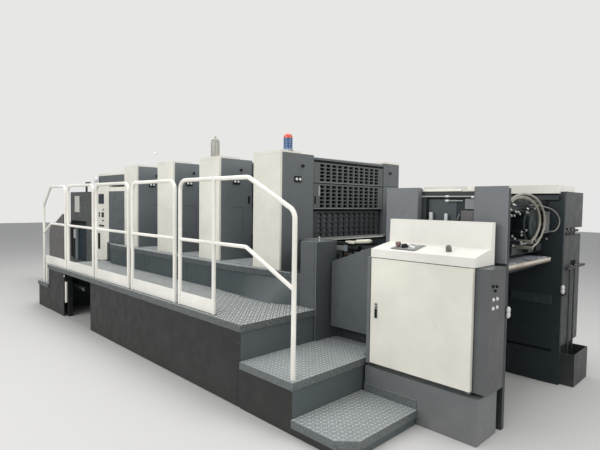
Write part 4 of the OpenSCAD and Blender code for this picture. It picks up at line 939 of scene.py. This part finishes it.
# Console: a steel cabinet on a set-back base, painted as the units are, with a cream door on a pin hinge
# and a cream desk with a sloping top. The door has a flat black pull and a lock.
console_gray = enamel("console_gray", (0.126, 0.137, 0.140), 0.40, 0.2, 0.30, 0.1, 0.08,
                      dirt=(0.08, 0.085, 0.085))
finish("console_body", console_gray)
door_cream = enamel("door_cream", (0.785, 0.76, 0.665), 0.34, 0.03, 0.0, 0.0, 0.04, dirt=(0.50, 0.47, 0.38))
desk_cream = enamel("desk_cream", (0.785, 0.765, 0.70), 0.34, 0.05, 0.0, 0.05, 0.0, dirt=(0.48, 0.45, 0.38))
finish("console_door", door_cream)
finish("console_desk", desk_cream)
lines("door_pull_plate", [((652, 755.4, 684), (685, 757.2, 804))],
      enamel("pull_rim", (0.50, 0.49, 0.46), 0.4, 0.2), 0.4, "console_door")
lines("door_pull", [((658, 751.5, 690), (679, 756.2, 758)), ((662, 753.0, 762), (675, 756.2, 798))],
      moulded_black, 1.2, "console_door")
turned("door_lock", [((668.5, 756, 780), outward, [(6, 0), (6, 4.4), (4.6, 5.2), (0, 5.2)])], worn_steel,
       16, "console_door")
desk_low, desk_front, desk_rise, desk_depth = 1213, 752, 39, 238
slope = (0, -desk_rise, desk_depth)


def on_desk(x, y):
    """A place on the sloping desk top."""
    return (x, y, desk_low + (y - desk_front) * desk_rise / desk_depth)


turned("desk_stop_button", [(on_desk(800, 838), slope, [(15, -1), (15, 14), (20, 18), (21, 34), (16, 41),
                                                        (0, 44)])],
       enamel("stop_button_red", (0.20, 0.115, 0.12), 0.35, 0.2, dirt=(0.08, 0.06, 0.06)),
       22)
turned("desk_dial", [(on_desk(850, 844), slope, [(26, -1), (26, 10), (22, 13), (20, 24), (17, 27),
                                                 (0, 27)])], moulded_black, 24)
turned("desk_buttons", [(on_desk(x, y), slope, [(14, -1), (14, 9), (11, 12), (0, 12.6)])
                        for x, y in ((884, 868), (918, 850), (836, 912))], button_white, 18)
turned("desk_key_switch", [(on_desk(1190, 858), slope, [(20, -1), (20, 24), (18, 31), (14, 37), (7, 41),
                                                        (0, 42)])],
       enamel("key_switch_gray", (0.13, 0.135, 0.115), 0.35, 0.3), 24)


def desk_pads(name, spans, height, coat):
    """Flat rounded pads on the desk top in one piece."""
    work = bmesh.new()
    lift = Vector(slope).normalized() * (height / 1000)
    for x0, x1, y0, y1 in spans:
        ring = [at(*on_desk(x, y)) for x, y in ((x0, y0), (x1, y0), (x1, y1), (x0, y1))]
        skin(work, [[work.verts.new(p + lift * share) for p in ring] for share in (-0.3, 1.0)])
    round_off(work, 0.0012)
    built(name, work, coat)


pad_gray = enamel("pad_gray", (0.20, 0.205, 0.20), 0.45, 0.25)
desk_pads("desk_keypad", [(761, 965, 790, 943)], 3.0, pad_gray)
desk_pads("desk_keys", [(896 + 24 * c, 914 + 24 * c, y, y + 20) for c in range(2) for y in (806, 878, 908)],
          7.0, enamel("key_gray", (0.42, 0.43, 0.41), 0.45, 0.2))

# Control column: a narrow closed steel column beside the console, sprayed gray,
# with a cluster of white push-buttons and black switches screwed into its end face.
# Painted shade: the end face, turned to the delivery end, gets a darker gray than the sides.
finish("control_column", enamel("column_gray", (0.094, 0.104, 0.104), 0.40, 0.16, 0.05, 0.1, 0.08,
                                dirt=(0.12, 0.122, 0.115), end_face_lighting=(0.064, 0.067, 0.063)))
turned("column_buttons", [((1508, y, z), endward, [(12, -1), (12, 4), (9, 5), (9, 9), (0, 9.6)])
                          for y, z in ((844, 946), (901, 944), (841, 890), (902, 890))], button_white,
       18)
turned("column_switches", [((1508, y, z), endward, [(11, -1), (11, 4), (8, 5), (7, 11), (0, 12)])
                           for y, z in ((838, 1032), (894, 1025), (871, 999))], moulded_black,
       18)

# Feeder: heavy side frames as one housing with an opening towards the pile, and pile guards that curve
# down. The guards are lighter sheet, dented and dusty. A bare pale plate is screwed to the housing.
feeder_gray = enamel("feeder_gray", (0.050, 0.053, 0.052), 0.45, 0.2, 0.1, 0.15, 0.08,
                     dirt=(0.045, 0.048, 0.047), gloss=0.35)
finish("feeder_body", feeder_gray)
finish("feeder_pile_guards", enamel("pile_guard_gray", (0.114, 0.109, 0.104), 0.5, 0.25, 0.15, 0.0, 0.12,
                                    dirt=(0.11, 0.11, 0.11)))
lines("feeder_plate", [((-5976, 896, 1338), (-5754, 900.4, 1620))],
      enamel("bare_plate", (0.54, 0.54, 0.49), 0.4, 0.2, dirt=(0.3, 0.3, 0.27)), 1.0)
lines("feeder_column", [((-6010, 912, 501), (-5900, 939.5, 1060))],
      enamel("column_blue", (0.095, 0.115, 0.125), 0.4, 0.2), 4.0)
lines("feeder_recess", [((-6079, 938.5, 501), (-5451, 941, 1156))],
      enamel("recess_blue", (0.018, 0.030, 0.037), 0.6, 0.2, dirt=(0.03, 0.035, 0.036), gloss=0.1))
lines("feeder_opening_band", [((-6186, 899.2, 540), (-6079, 900.6, 1156)),
                              ((-6186, 899.2, 1157), (-5451, 900.6, 1190))], seam_dark)
lines("feeder_item", [((-6070, 904, 870), (-5985, 938, 1030))],
      enamel("item_gray", (0.42, 0.42, 0.40), 0.4, 0.3), 6.0)

# Control cabinet: a folded steel cabinet, enamelled cream as the covers are,
# with a dark display, a block of black push-buttons, a rocker and a long black slot set into its front.
finish("feeder_cabinet", cover_white)
display_glass = enamel("display_glass", (0.012, 0.022, 0.036), 0.45, 0.1, dirt=(0.03, 0.04, 0.055),
                       gloss=0.2)
lines("cabinet_display", [((-4927, 899, 1494), (-4722, 905.5, 1650))], display_glass, 2.0)
lines("cabinet_slot", [((-5006, 902.4, 766), (-4876, 905.6, 1024))], seam_dark, 1.0)
cabinet_spots = [(-4740, 1410, 9), (-4746, 1392, 8), (-4900, 1340, 20), (-4900, 1300, 18),
                 (-4786, 1340, 20), (-4742, 1340, 20), (-4786, 1300, 20), (-4742, 1300, 20),
                 (-4768, 1228, 10), (-4740, 1228, 10)]
turned("cabinet_buttons", [((x, 905, z), outward, [(r, -1), (r, 5), (r * 0.8, 7), (r * 0.8, 10),
                                                   (0, 10.5)]) for x, z, r in cabinet_spots], moulded_black,
       14)
lines("cabinet_rocker", [((-4900, 896, 1133), (-4724, 905.4, 1160))], moulded_black, 3.0)

# Infeed cover: a gray sheet housing screwed on between the control cabinet and the first unit,
# with a cream band under its top and a white knob.
finish("infeed_cover", enamel("infeed_gray", (0.068, 0.085, 0.091), 0.42, 0.16, 0.0, 0.1, 0.08,
                              dirt=(0.05, 0.06, 0.064), gloss=0.4))
lines("infeed_band", [((-4534, 903.0, 1690), (-3870, 905.4, 1753))], cover_white, 0.5)
turned("infeed_knob", [((-5110, 940, 1882), outward, [(30, -12), (30, -2), (42, 2), (46, 12), (42, 26),
                                                      (24, 33), (0, 34)])], button_white,
       24)
